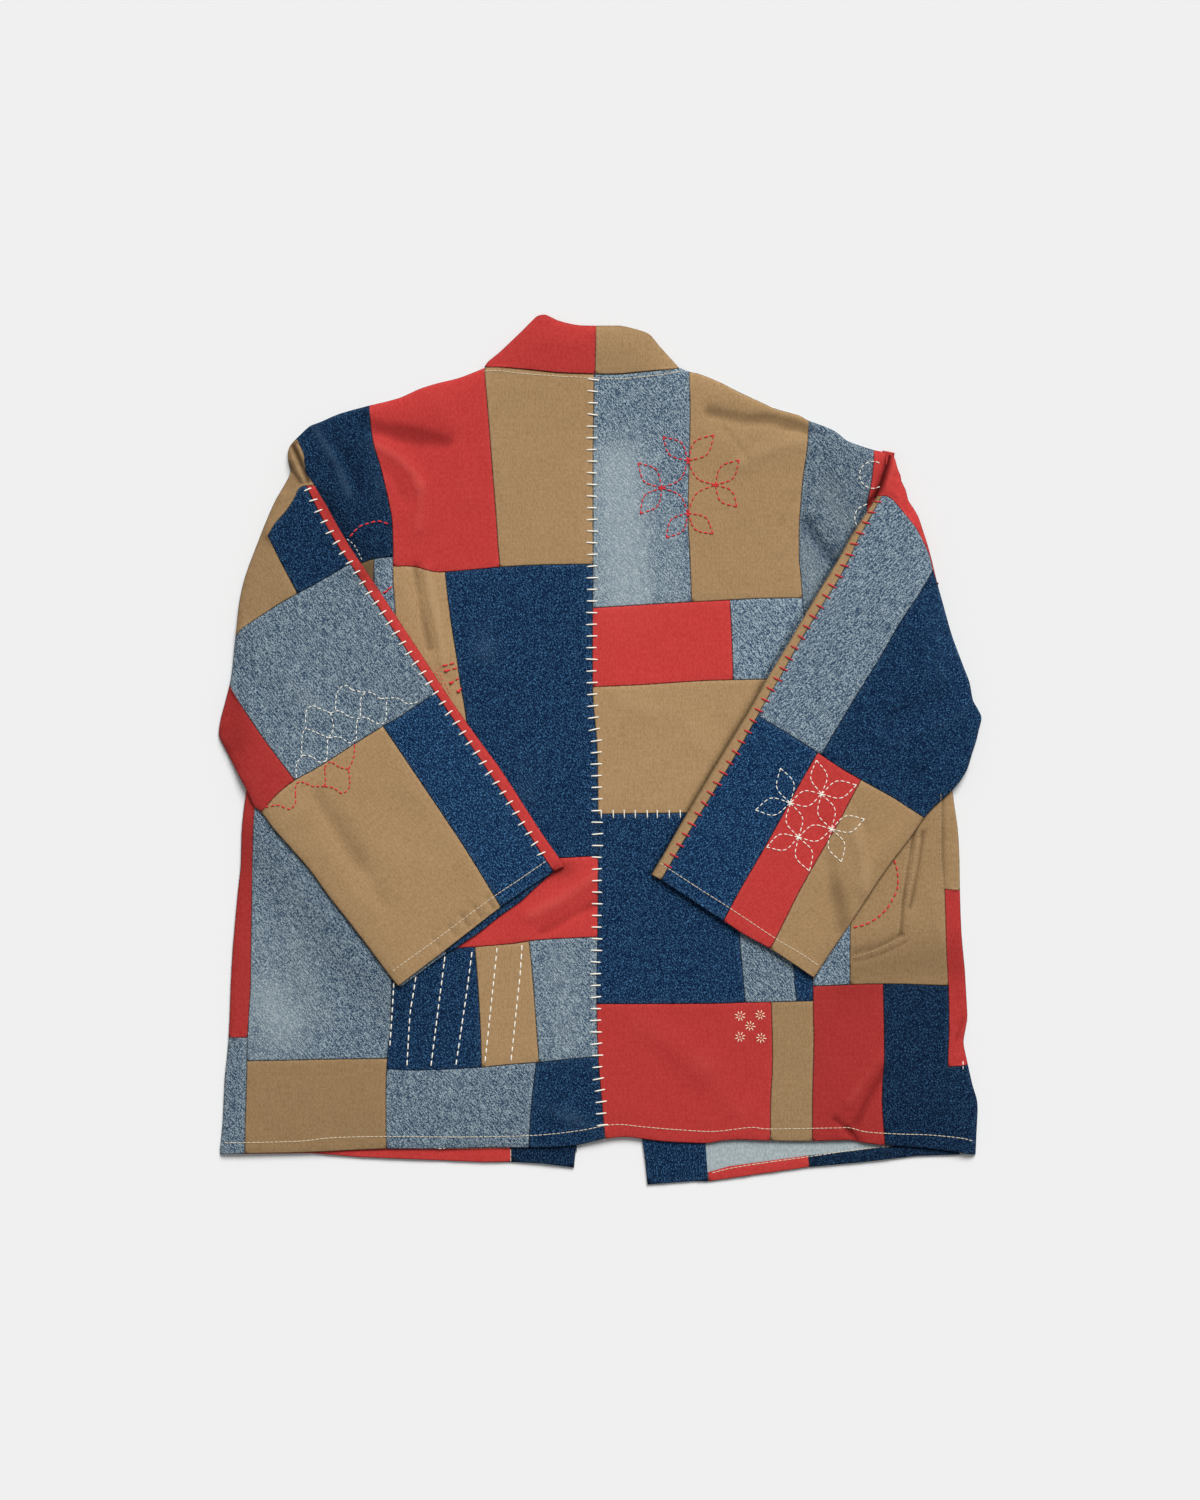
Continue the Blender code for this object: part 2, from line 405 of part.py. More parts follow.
def crossing(first, second):
    """Where two seams cross, as a place along each."""
    a, b = CURVES[first], CURVES[second]
    r, s = np.diff(a, axis=0)[:, None], np.diff(b, axis=0)[None]
    between = b[None, :-1] - a[:-1, None]
    turn = r[..., 0] * s[..., 1] - r[..., 1] * s[..., 0]
    turn = np.where(np.abs(turn) < 1e-12, 1e-12, turn)
    along_a = (between[..., 0] * s[..., 1] - between[..., 1] * s[..., 0]) / turn
    along_b = (between[..., 0] * r[..., 1] - between[..., 1] * r[..., 0]) / turn
    hits = np.argwhere((along_a >= 0) & (along_a < 1) & (along_b >= 0) & (along_b < 1))
    if len(hits) != 1:
        raise ValueError(f"{first} and {second} cross {len(hits)} times")
    i, j = hits[0]
    return i + along_a[i, j], j + along_b[i, j]


def stretch(name, start, end):
    """The part of a seam between two places along it."""
    curve = CURVES[name]
    low, high = min(start, end), max(start, end)
    whole = np.arange(math.floor(low) + 1, math.ceil(high))
    places = np.concatenate([[low], whole, [high]])
    index = np.minimum(places.astype(int), len(curve) - 2)
    points = curve[index] + (curve[index + 1] - curve[index]) * (places - index)[:, None]
    points = points[np.r_[True, np.linalg.norm(np.diff(points, axis=0), axis=1) > 1e-6]]
    return points if start < end else points[::-1]


def seam_runs(names):
    """The stretches of seam round a patch, each ending where the next one starts."""
    names = names.split()
    corners = [crossing(name, after) for name, after in zip(names, names[1:] + names[:1])]
    return [(name, stretch(name, corners[i - 1][1], corners[i][0])) for i, name in enumerate(names)]


def nearest(points, curve):
    """How far each point is from a curve, and the way that leads away from it."""
    start, step = curve[:-1], np.diff(curve, axis=0)
    length = (step**2).sum(axis=1)
    best = np.full(len(points), np.inf)
    way = np.zeros((len(points), 2))
    for a, s, square in zip(start, step, length):
        along = np.clip(((points - a) @ s) / square, 0, 1)
        gap = points - (a + along[:, None] * s)
        distance = np.hypot(gap[:, 0], gap[:, 1])
        closer = distance < best
        best = np.where(closer, distance, best)
        way[closer] = gap[closer]
    return best, way / np.maximum(best, 1e-9)[:, None]


def swell(points):
    """The slow rise and fall that every layer above the fronts shares."""
    x, y = points[:, 0], points[:, 1]
    return (1.2 + 0.5 * np.sin(x / 88 + 0.6) * np.cos(y / 104) + 0.35 * np.sin((x + y) / 66 + 2)
            + 0.25 * np.sin((x - 1.4 * y) / 52))


def folds(points, lines):
    height = np.zeros(len(points))
    for start, end, width, rise in lines:
        distance, _ = nearest(points, placed([start, end]))
        height += rise * np.exp(-((distance / (width * SCALE)) ** 2))
    return height


def ramp(value, low, high):
    t = np.clip((value - low) / (high - low), 0, 1)
    return t * t * (3 - 2 * t)


def wall(points, base, thick, edges=()):
    """The upper and lower face of a sheet whose edges roll down, each edge a curve, a level and a reach."""
    top, bottom = base + thick, base.copy()
    inward = np.zeros((len(points), 2))
    for curve, level, reach in edges:
        distance, way = nearest(points, CURVES[curve])
        t = np.clip(distance / reach, 0, 1)
        lift = np.sqrt(1 - (1 - t) ** 2)
        top = np.minimum(top, level + (base + thick - level) * lift)
        bottom = np.minimum(bottom, level + (base - level) * lift)
        inward += way * (1 - t)[:, None]
    inward *= CLOTH / np.maximum(np.linalg.norm(inward, axis=1), 1)[:, None]
    return np.column_stack([points, top]), np.column_stack([points + inward, bottom])


def back_top(points):
    return BACK_LEVEL + CLOTH + swell(points)


def back_sheet(points):
    base = BACK_LEVEL + swell(points) + folds(points, BACK_FOLDS)
    distance, _ = nearest(points, CURVES["hem"])
    base = HEM_LEVEL + (base - HEM_LEVEL) * ramp(distance, -HEM_REACH / 2, HEM_REACH)
    return wall(points, base, CLOTH, back_edges(points))


def back_edges(points):
    """Where the back and the collar roll down. Clear of the neck seam, the collar reaches the floor."""
    on_floor = EDGE_LEVEL * (1 - ramp(nearest(points, CURVES["neck"])[0], 4.0, 14.0))
    rolled = ("shoulder_left", "side_left", "shoulder_right", "side_right")
    return ([(name, EDGE_LEVEL, BACK_REACH) for name in rolled]
            + [(name, on_floor, COLLAR_REACH) for name in ("collar_edge_left", "collar_edge_right")])


def collar_sheet(points):
    return wall(points, BACK_LEVEL + swell(points), COLLAR_CLOTH, back_edges(points))


def upper_sheet(points):
    """The upper layer of a folded sleeve: its crease reaches the floor, and the rest lies on the back."""
    base = UPPER_LEVEL + swell(points) + folds(points, SLEEVE_FOLDS)
    row = MIDDLE_ROW - points[:, 1] / SCALE
    on_back = back_top(points) + SEAM_GAP
    on_under = UNDER_LEVEL + CLOTH + swell(points) + SEAM_GAP
    level = EDGE_LEVEL + (on_back - EDGE_LEVEL) * ramp(row, 752, 784)
    level = level + (on_under - on_back) * ramp(row, 792, 832)
    return wall(points, base, CLOTH, [("sleeve_edge_left", level, CREASE_REACH),
                                      ("sleeve_edge_right", level, CREASE_REACH),
                                      ("crown_top_left", on_back, CROWN_REACH),
                                      ("crown_top_right", on_back, CROWN_REACH)])


def under_sheet(points):
    return wall(points, UNDER_LEVEL + swell(points), CLOTH)


def front_sheet(points):
    return wall(points, np.zeros(len(points)), CLOTH)


def trim_sheet(points):
    return wall(points, np.full(len(points), TRIM_LEVEL), TRIM)


SHEETS = {"back": back_sheet, "collar": collar_sheet, "upper": upper_sheet, "under": under_sheet,
          "front": front_sheet, "trim": trim_sheet}
FLAT_SHEETS = ("front", "trim")
# The seams of each sheet that roll down, with the distances inwards at which a ring of points follows them.
ROLLED = {
    "back": {"shoulder_left": (1.0, 4.0), "side_left": (1.0, 4.0), "shoulder_right": (1.0, 4.0),
             "side_right": (1.0, 4.0)},
    "collar": {"collar_edge_left": (1.2, 5.0), "collar_edge_right": (1.2, 5.0)},
    "upper": {"sleeve_edge_left": (0.8, 3.2, 8.0), "sleeve_edge_right": (0.8, 3.2, 8.0),
              "crown_top_left": (0.8, 3.0), "crown_top_right": (0.8, 3.0)},
}
FOLDS = {"back": BACK_FOLDS, "upper": SLEEVE_FOLDS}


def inset(loop, gap):
    """The closed outline moved inwards by half of a seam's gap."""
    before, after = np.roll(loop, 1, axis=0), np.roll(loop, -1, axis=0)
    normals = []
    for step in (loop - before, after - loop):
        step = step / np.maximum(np.linalg.norm(step, axis=1), 1e-9)[:, None]
        normals.append(np.column_stack([-step[:, 1], step[:, 0]]))
    middle = normals[0] + normals[1]
    middle /= np.maximum((middle * normals[0]).sum(axis=1), 0.3)[:, None]
    turning = np.sign((before[:, 0] * loop[:, 1] - before[:, 1] * loop[:, 0]).sum())
    return loop + turning * gap * middle


def thinned(points, heights, error, longest):
    """The fewest points of a run that keep its plan and height, none further apart than an edge may be."""
    keep = {0, len(points) - 1}
    waiting = [(0, len(points) - 1)]
    while waiting:
        a, b = waiting.pop()
        if b - a < 2:
            continue
        span = np.linalg.norm(points[b] - points[a])
        t = np.linspace(0, 1, b - a + 1)[1:-1]
        chord = (points[b] - points[a]) / max(span, 1e-9)
        offset = points[a + 1:b] - points[a]
        along = np.clip(offset @ chord / max(span, 1e-9), 0, 1)
        plan = np.linalg.norm(offset - along[:, None] * (points[b] - points[a]), axis=1)
        rise = np.abs(heights[a + 1:b] - (heights[a] + (heights[b] - heights[a]) * along))
        worst = np.maximum(plan / error, rise / HEIGHT_ERROR)
        ends = np.minimum(np.linalg.norm(points[a + 1:b] - points[a], axis=1),
                          np.linalg.norm(points[a + 1:b] - points[b], axis=1))
        worst[ends < SHORTEST_EDGE] = 0
        if worst.max() <= 1 and span <= longest:
            continue
        split = a + 1 + int(worst.argmax() if worst.max() > 1 else np.abs(t - 0.5).argmin())
        keep.add(split)
        waiting += [(a, split), (split, b)]
    return sorted(keep)


def inside(points, loop):
    x, y = points[:, 0], points[:, 1]
    found = np.zeros(len(points), bool)
    for (x0, y0), (x1, y1) in zip(loop, np.roll(loop, -1, axis=0)):
        if y0 != y1:
            found ^= ((y0 > y) != (y1 > y)) & (x < (x1 - x0) * (y - y0) / (y1 - y0) + x0)
    return found


def clear_of(points, others, gap):
    if not len(points):
        return points
    kept = []
    others = [tuple(other) for other in others]
    for point in points:
        if all((point[0] - x) ** 2 + (point[1] - y) ** 2 > gap * gap for x, y in others):
            kept.append(point)
            others.append(tuple(point))
    return np.array(kept).reshape(-1, 2)


def grid_over(loop):
    """A honeycomb of points that covers the outline."""
    low, high = loop.min(axis=0), loop.max(axis=0)
    rise = 0.87 * GRID_STEP
    rows = range(math.floor(low[1] / rise), math.ceil(high[1] / rise) + 1)
    columns = range(math.floor(low[0] / GRID_STEP) - 1, math.ceil(high[0] / GRID_STEP) + 1)
    return np.array([((column + 0.5 * (row % 2)) * GRID_STEP, row * rise)
                     for row in rows for column in columns])


def fold_points(lines):
    points = []
    for start, end, width, _ in lines:
        start, end = placed([start, end])
        span = np.linalg.norm(end - start)
        side = np.array([start[1] - end[1], end[0] - start[0]]) / span * width * SCALE
        for t in np.linspace(0, 1, max(2, math.ceil(span / FOLD_STEP) + 1)):
            middle = start + (end - start) * t
            points += [middle, middle + 1.3 * side, middle - 1.3 * side]
    return np.array(points).reshape(-1, 2)


def patch_mesh(sheet, names):
    """Points and faces of one patch as a closed wall."""
    surface = SHEETS[sheet]
    flat = sheet in FLAT_SHEETS
    error, longest = (FLAT_OUTLINE_ERROR, FLAT_LONGEST_EDGE) if flat else (OUTLINE_ERROR, LONGEST_EDGE)
    kept = [(name, points[thinned(points, surface(points)[0][:, 2], error, longest)])
            for name, points in seam_runs(names)]
    outline = inset(np.vstack([points[:-1] for _, points in kept]), SEAM_GAP / 2)
    rings, at = [], 0
    for name, points in kept:
        end = at + len(points)
        for depth in ROLLED.get(sheet, {}).get(name, ()):
            rings.append((depth, np.vstack([outline, outline[:1]])[at:end]))
        at = end - 1
    turning = np.sign((outline[:, 0] * np.roll(outline[:, 1], -1)
                       - np.roll(outline[:, 0], -1) * outline[:, 1]).sum())
    extra, ties = [], []
    for depth, points in rings:
        step = np.gradient(points, axis=0)
        normal = turning * np.column_stack([-step[:, 1], step[:, 0]]) / np.linalg.norm(step, axis=1)[:, None]
        ring = points + normal * depth
        usable = inside(ring, outline) & (nearest(ring, np.vstack([outline, outline[:1]]))[0] > 0.8 * depth)
        usable[0] = usable[-1] = False
        last = None
        for point, good in zip(ring, usable):
            if good and all(math.dist(point, other) > 0.5 * min(depth, 6) for other in extra):
                extra.append(tuple(point))
                if last is not None:
                    ties.append((last, len(extra) - 1))
                last = len(extra) - 1
            else:
                last = None
    boundary = np.vstack([outline, outline[:1]])
    inner = np.zeros((0, 2)) if flat else np.vstack([fold_points(FOLDS.get(sheet, [])), grid_over(outline)])
    inner = inner[inside(inner, outline)]
    inner = inner[nearest(inner, boundary)[0] > CLEAR_OF_EDGES]
    inner = clear_of(inner, list(extra) + list(outline), CLEAR_OF_POINTS)
    everything = [Vector(point) for point in list(outline) + list(extra) + list(inner)]
    count = len(outline)
    tied = [(a + count, b + count) for a, b in ties]
    plan, _, triangles, sources, *_ = delaunay_2d_cdt(everything, tied, [list(range(count))], 1, 1e-6)
    top, bottom = surface(np.array([tuple(point) for point in plan]))
    lanes = seam_lanes(kept, ROLLED.get(sheet, {}))
    for i, source in enumerate(sources):
        if source and min(source) < count:
            bottom[i, :2] = kept_inside(top[i, :2], bottom[i, :2], lanes[min(source)], outline)
    return solid_between(top, bottom, triangles)


def seam_lanes(kept, rolled):
    """For each point of a patch's outline, the way along its seam, or None on an edge that rolls down."""
    lanes = []
    for i, (name, points) in enumerate(kept):
        before, before_points = kept[i - 1]
        ways = list(np.diff(points, axis=0))
        if name in rolled:
            ways = [None] * len(ways)
            if before not in rolled:
                ways[0] = before_points[-2] - before_points[-1]
        lanes += ways
    return lanes


def kept_inside(top, bottom, lane, outline):
    """The lower point, slid along its seam or pulled back so that it never crosses into a neighbour."""
    shift = bottom - top
    if lane is not None:
        lane = lane / np.linalg.norm(lane)
        slide = shift @ lane
        return top + lane * math.copysign(max(abs(slide), np.linalg.norm(shift) / 2), slide)
    for _ in range(4):
        if np.linalg.norm(shift) < 0.1 or inside((top + shift)[None], outline)[0]:
            break
        shift = shift / 2
    return top + shift


def solid_between(top, bottom, triangles):
    """A closed wall from one triangulated plan: upper face, lower face and the rim between them."""
    count = len(top)
    signed = [np.cross(top[b, :2] - top[a, :2], top[c, :2] - top[a, :2]) for a, b, c in triangles]
    triangles = [t if area > 0 else t[::-1] for t, area in zip(triangles, signed)]
    sides = {(a, b) for t in triangles for a, b in zip(t, t[1:] + t[:1])}
    rim = [(a, b) for a, b in sides if (b, a) not in sides]
    faces = [tuple(t) for t in triangles]
    faces += [tuple(count + v for v in reversed(t)) for t in triangles]
    faces += [(b, a, count + a, count + b) for a, b in sorted(rim)]
    return np.vstack([top, bottom]), faces


def strip_mesh(fold, seam, start, end):
    """A strip that wraps the long fold of a sleeve: a thin hairpin section carried along the fold."""
    first, last = crossing(fold, start)[0], crossing(fold, end)[0]
    seam_first, seam_last = crossing(seam, start)[0], crossing(seam, end)[0]
    outer, inner = stretch(fold, first, last), stretch(seam, seam_first, seam_last)
    count = math.ceil(np.linalg.norm(np.diff(outer, axis=0), axis=1).sum() / STRIP_STEP) + 1
    outer, inner = evenly(outer, count), evenly(inner, count)
    across = inner - outer
    width = np.linalg.norm(across, axis=1) - 0.75 * SEAM_GAP
    across /= np.linalg.norm(across, axis=1)[:, None]
    low = UNDER_LEVEL + swell(inner)
    high = UPPER_LEVEL + CLOTH + swell(inner)
    turns = np.linspace(-math.pi / 2, math.pi / 2, STRIP_TURN_STEPS + 1)
    points = []
    for i in range(count):
        radius = (high[i] - low[i]) / 2
        middle = (high[i] + low[i]) / 2
        section = [(width[i], low[i])]
        section += [(radius - radius * math.cos(turn), middle + radius * math.sin(turn)) for turn in turns]
        section += [(width[i], high[i]), (width[i], high[i] - CLOTH)]
        bend = radius - CLOTH
        section += [(radius - bend * math.cos(t), middle + bend * math.sin(t)) for t in turns[::-1]]
        section += [(width[i], low[i] + CLOTH)]
        points += [(*(outer[i] + across[i] * inwards), height) for inwards, height in section]
    size = len(points) // count
    faces = [(i * size + k, i * size + (k + 1) % size, (i + 1) * size + (k + 1) % size, (i + 1) * size + k)
             for i in range(count - 1) for k in range(size)]
    faces += end_caps(size, (count - 1) * size)
    return np.array(points), faces


def end_caps(size, last):
    """Both ends of a strip, as quads between the outer and the inner side of its section."""
    half = size // 2
    quads = [(k, k + 1, size - 2 - k, size - 1 - k) for k in range(half - 1)]
    return [tuple(reversed(quad)) for quad in quads] + [tuple(last + v for v in quad) for quad in quads]


def evenly(curve, count):
    along = np.r_[0, np.cumsum(np.linalg.norm(np.diff(curve, axis=0), axis=1))]
    places = np.linspace(0.3, along[-1] - 0.3, count)
    return np.column_stack([np.interp(places, along, curve[:, 0]), np.interp(places, along, curve[:, 1])])


def cloth_material(name):
    material = bpy.data.materials.new(name)
    material.use_nodes = True
    shader = material.node_tree.nodes["Principled BSDF"]
    shader.inputs["Base Color"].default_value = (*CLOTHS[name], 1)
    shader.inputs["Roughness"].default_value = 0.9
    shader.inputs["Metallic"].default_value = 0.0
    return material


def add_piece(name, points, faces, material):
    mesh = bpy.data.meshes.new(name)
    mesh.from_pydata([tuple(point * METRES) for point in points], [], faces)
    volume = sum(np.dot(points[f[0]], np.cross(points[f[i]], points[f[i + 1]]))
                 for f in faces for i in range(1, len(f) - 1))
    if volume < 0:
        mesh.flip_normals()
    mesh.materials.append(material)
    mesh.shade_smooth()
    mesh.set_sharp_from_angle(angle=math.radians(35))
    bpy.context.scene.collection.objects.link(bpy.data.objects.new(name, mesh))


def build():
    clear_scene()
    materials = {name: cloth_material(name) for name in CLOTHS}
    for name, (cloth, sheet, seams) in PATCHES.items():
        add_piece(name, *patch_mesh(sheet, seams), materials[cloth])
    add_piece("sleeve_left_red_strip", *strip_mesh("fold_left", "fold_seam_left", "crown_seam_left",
                                                   "cuff_left"), materials["red_twill"])
    add_piece("sleeve_right_tan_strip", *strip_mesh("fold_right", "fold_seam_right", "crown_seam_right",
                                                    "cuff_right"), materials["tan_twill"])


build()
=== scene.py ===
"""Looks of the patched boro jacket: cloth shells on the laid solids, hand stitching, woven finishes, light
and camera. Places on the jacket are given as (column, row) of the 1200 by 1500 reference view."""

import json
import math
import random

import bpy
import numpy as np
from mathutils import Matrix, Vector, noise
from mathutils.bvhtree import BVHTree
from mathutils.geometry import delaunay_2d_cdt


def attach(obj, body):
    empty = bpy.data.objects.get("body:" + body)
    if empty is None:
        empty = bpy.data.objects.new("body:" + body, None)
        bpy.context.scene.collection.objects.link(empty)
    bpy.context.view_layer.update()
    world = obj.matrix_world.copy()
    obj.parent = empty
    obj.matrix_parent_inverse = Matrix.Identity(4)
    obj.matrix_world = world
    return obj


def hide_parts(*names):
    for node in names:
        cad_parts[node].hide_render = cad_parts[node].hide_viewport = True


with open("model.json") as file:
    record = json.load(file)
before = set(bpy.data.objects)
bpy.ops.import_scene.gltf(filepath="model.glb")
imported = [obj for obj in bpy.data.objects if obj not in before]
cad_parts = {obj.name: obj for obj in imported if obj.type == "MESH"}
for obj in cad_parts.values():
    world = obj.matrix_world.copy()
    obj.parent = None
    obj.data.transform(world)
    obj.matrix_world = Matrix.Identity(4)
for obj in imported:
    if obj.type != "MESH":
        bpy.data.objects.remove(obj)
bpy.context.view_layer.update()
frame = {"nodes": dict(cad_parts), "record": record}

# The reference view, the middle of the laid jacket in it, and the real size of one of its pixels.
MM = 0.001
VIEW_WIDTH, VIEW_HEIGHT = 1200, 1500
MIDDLE_COLUMN, MIDDLE_ROW = 600.0, 749.5
CENTRE_BACK = 0.69
NECK_ROW, HEM_ROW = 373, 1139
PIXEL = CENTRE_BACK / (HEM_ROW - NECK_ROW)

# Cloth: its thickness, the doubled cloth of the collar, and the room left above the table.
CLOTH = 1.2 * MM
COLLAR_CLOTH = 2.2 * MM
FLOOR_CLEARANCE = 0.12 * MM
LARGEST_THREAD_SHIFT = 3

# The mesh of a shell: its step where it shows and where it is hidden, the rings just inside its edge, the
# share of a ring's depth or of a step that stays free of other points, and how evenly it is smoothed.
FINE_STEP = 4.4 * MM
HIDDEN_STEP = 8.0 * MM
RING_DEPTHS = (0.9 * MM, 2.6 * MM)
RING_ROOM = 0.85
HONEYCOMB_ROOM = 0.45
SMOOTHING_ROUNDS = 14
SEES_UP = 0.05
JUST_ABOVE = 0.02 * MM

# Lines over the cloth: how close their points are, which creases are narrow, in pixels of half width, and
# where the extra points of those lie, in half widths.
CURVE_STEP = 1.2 * MM
MARK_STEP = 4 * MM
CREASE_STEP = 2.5 * MM
NARROW_CREASE = 4.5
CREASE_LANES = (-0.9, 0.0, 0.9)

# The fold of a doubled strip: how far below the crest it starts, half the rise between its two layers, and
# how far its turned edge rounds out.
CREST_DROP = 0.45 * MM
HALF_TURN_RISE = 1.0 * MM
HALF_TURN_BULGE = 0.27 * MM

# Relief: the dip at a seam, the pucker beside it, and the slack of worn cloth as wave size and height. It
# is full on a panel 2 mm high and weaker on a lower one.
SEAM_DIP = 0.38 * MM
SEAM_DIP_REACH = 1.3 * MM
PUCKER = 0.3 * MM
PUCKER_REACH = 7.0 * MM
PUCKER_SIZE = 9.0 * MM
SLACK = ((52 * MM, 0.6 * MM), (21 * MM, 0.34 * MM), (8 * MM, 0.1 * MM))
SLACK_SLICE, PUCKER_SLICE = 3.7, 9.1
FULL_RELIEF_AT, NO_RELIEF_AT = 2 * MM, -2 * MM

# Radius of each thread.
WHIP_THREAD = 0.68 * MM
SASHIKO_THREAD = 0.62 * MM
ARC_THREAD = 0.74 * MM
WHITE_SASHIKO_THREAD = 0.46 * MM
STAR_THREAD = 0.42 * MM
WAIST_THREAD = 0.52 * MM
TOPSTITCH_THREAD = 0.33 * MM
FINE_THREAD = 0.3 * MM
KNOT_THREAD = 1.25 * MM

# The tube of a stitch: its sides and points, how far its middle stands out and its ends dive, in radii,
# and how thin its ends are.
THREAD_SIDES = 6
STITCH_POINTS = 7
WHIP_POINTS = 9
THREAD_LIFT, THREAD_DIVE = 0.65, 1.8
THREAD_END = 0.7

# How far the hand strays: in the lean of a whip stitch, in degrees, beside the seam, and in length. The
# lean of a seam settles within the first part of it.
LEAN_WANDER = 5
ASIDE_WANDER = 0.5 * MM
LENGTH_WANDER = 0.1
LEAN_SETTLES_AT = 0.3

# Running stitches by where they are sewn: the length of a stitch and of the gap after it.
STITCHES = {
    "petals": (3.7 * MM, 1.6 * MM),
    "lines": (5.2 * MM, 2.2 * MM),
    "white scallops": (3.0 * MM, 1.7 * MM),
    "red scallops": (3.1 * MM, 1.7 * MM),
    "arcs": (3.9 * MM, 2.0 * MM),
    "side motif": (2.6 * MM, 1.6 * MM),
    "arm": (2.4 * MM, 1.6 * MM),
    "pocket": (2.6 * MM, 0.8 * MM),
    "edges": (3.6 * MM, 0.5 * MM),
}

# Lines that both a fold and its painted crease shade follow: two creases of the left crown and the edge of
# the right sleeve's folded strip, beside which a shadow is painted.
LEFT_CROWN_CREASE = [(293, 445), (301, 462), (309, 481)]
LEFT_CROWN_INNER = [(285, 457), (293, 471), (301, 483)]
RIGHT_STRIP_EDGE = [(866, 508), (847.3, 540.5), (810, 603), (770, 669.5), (752.5, 702), (723, 751),
                    (687.5, 811), (652, 872)]

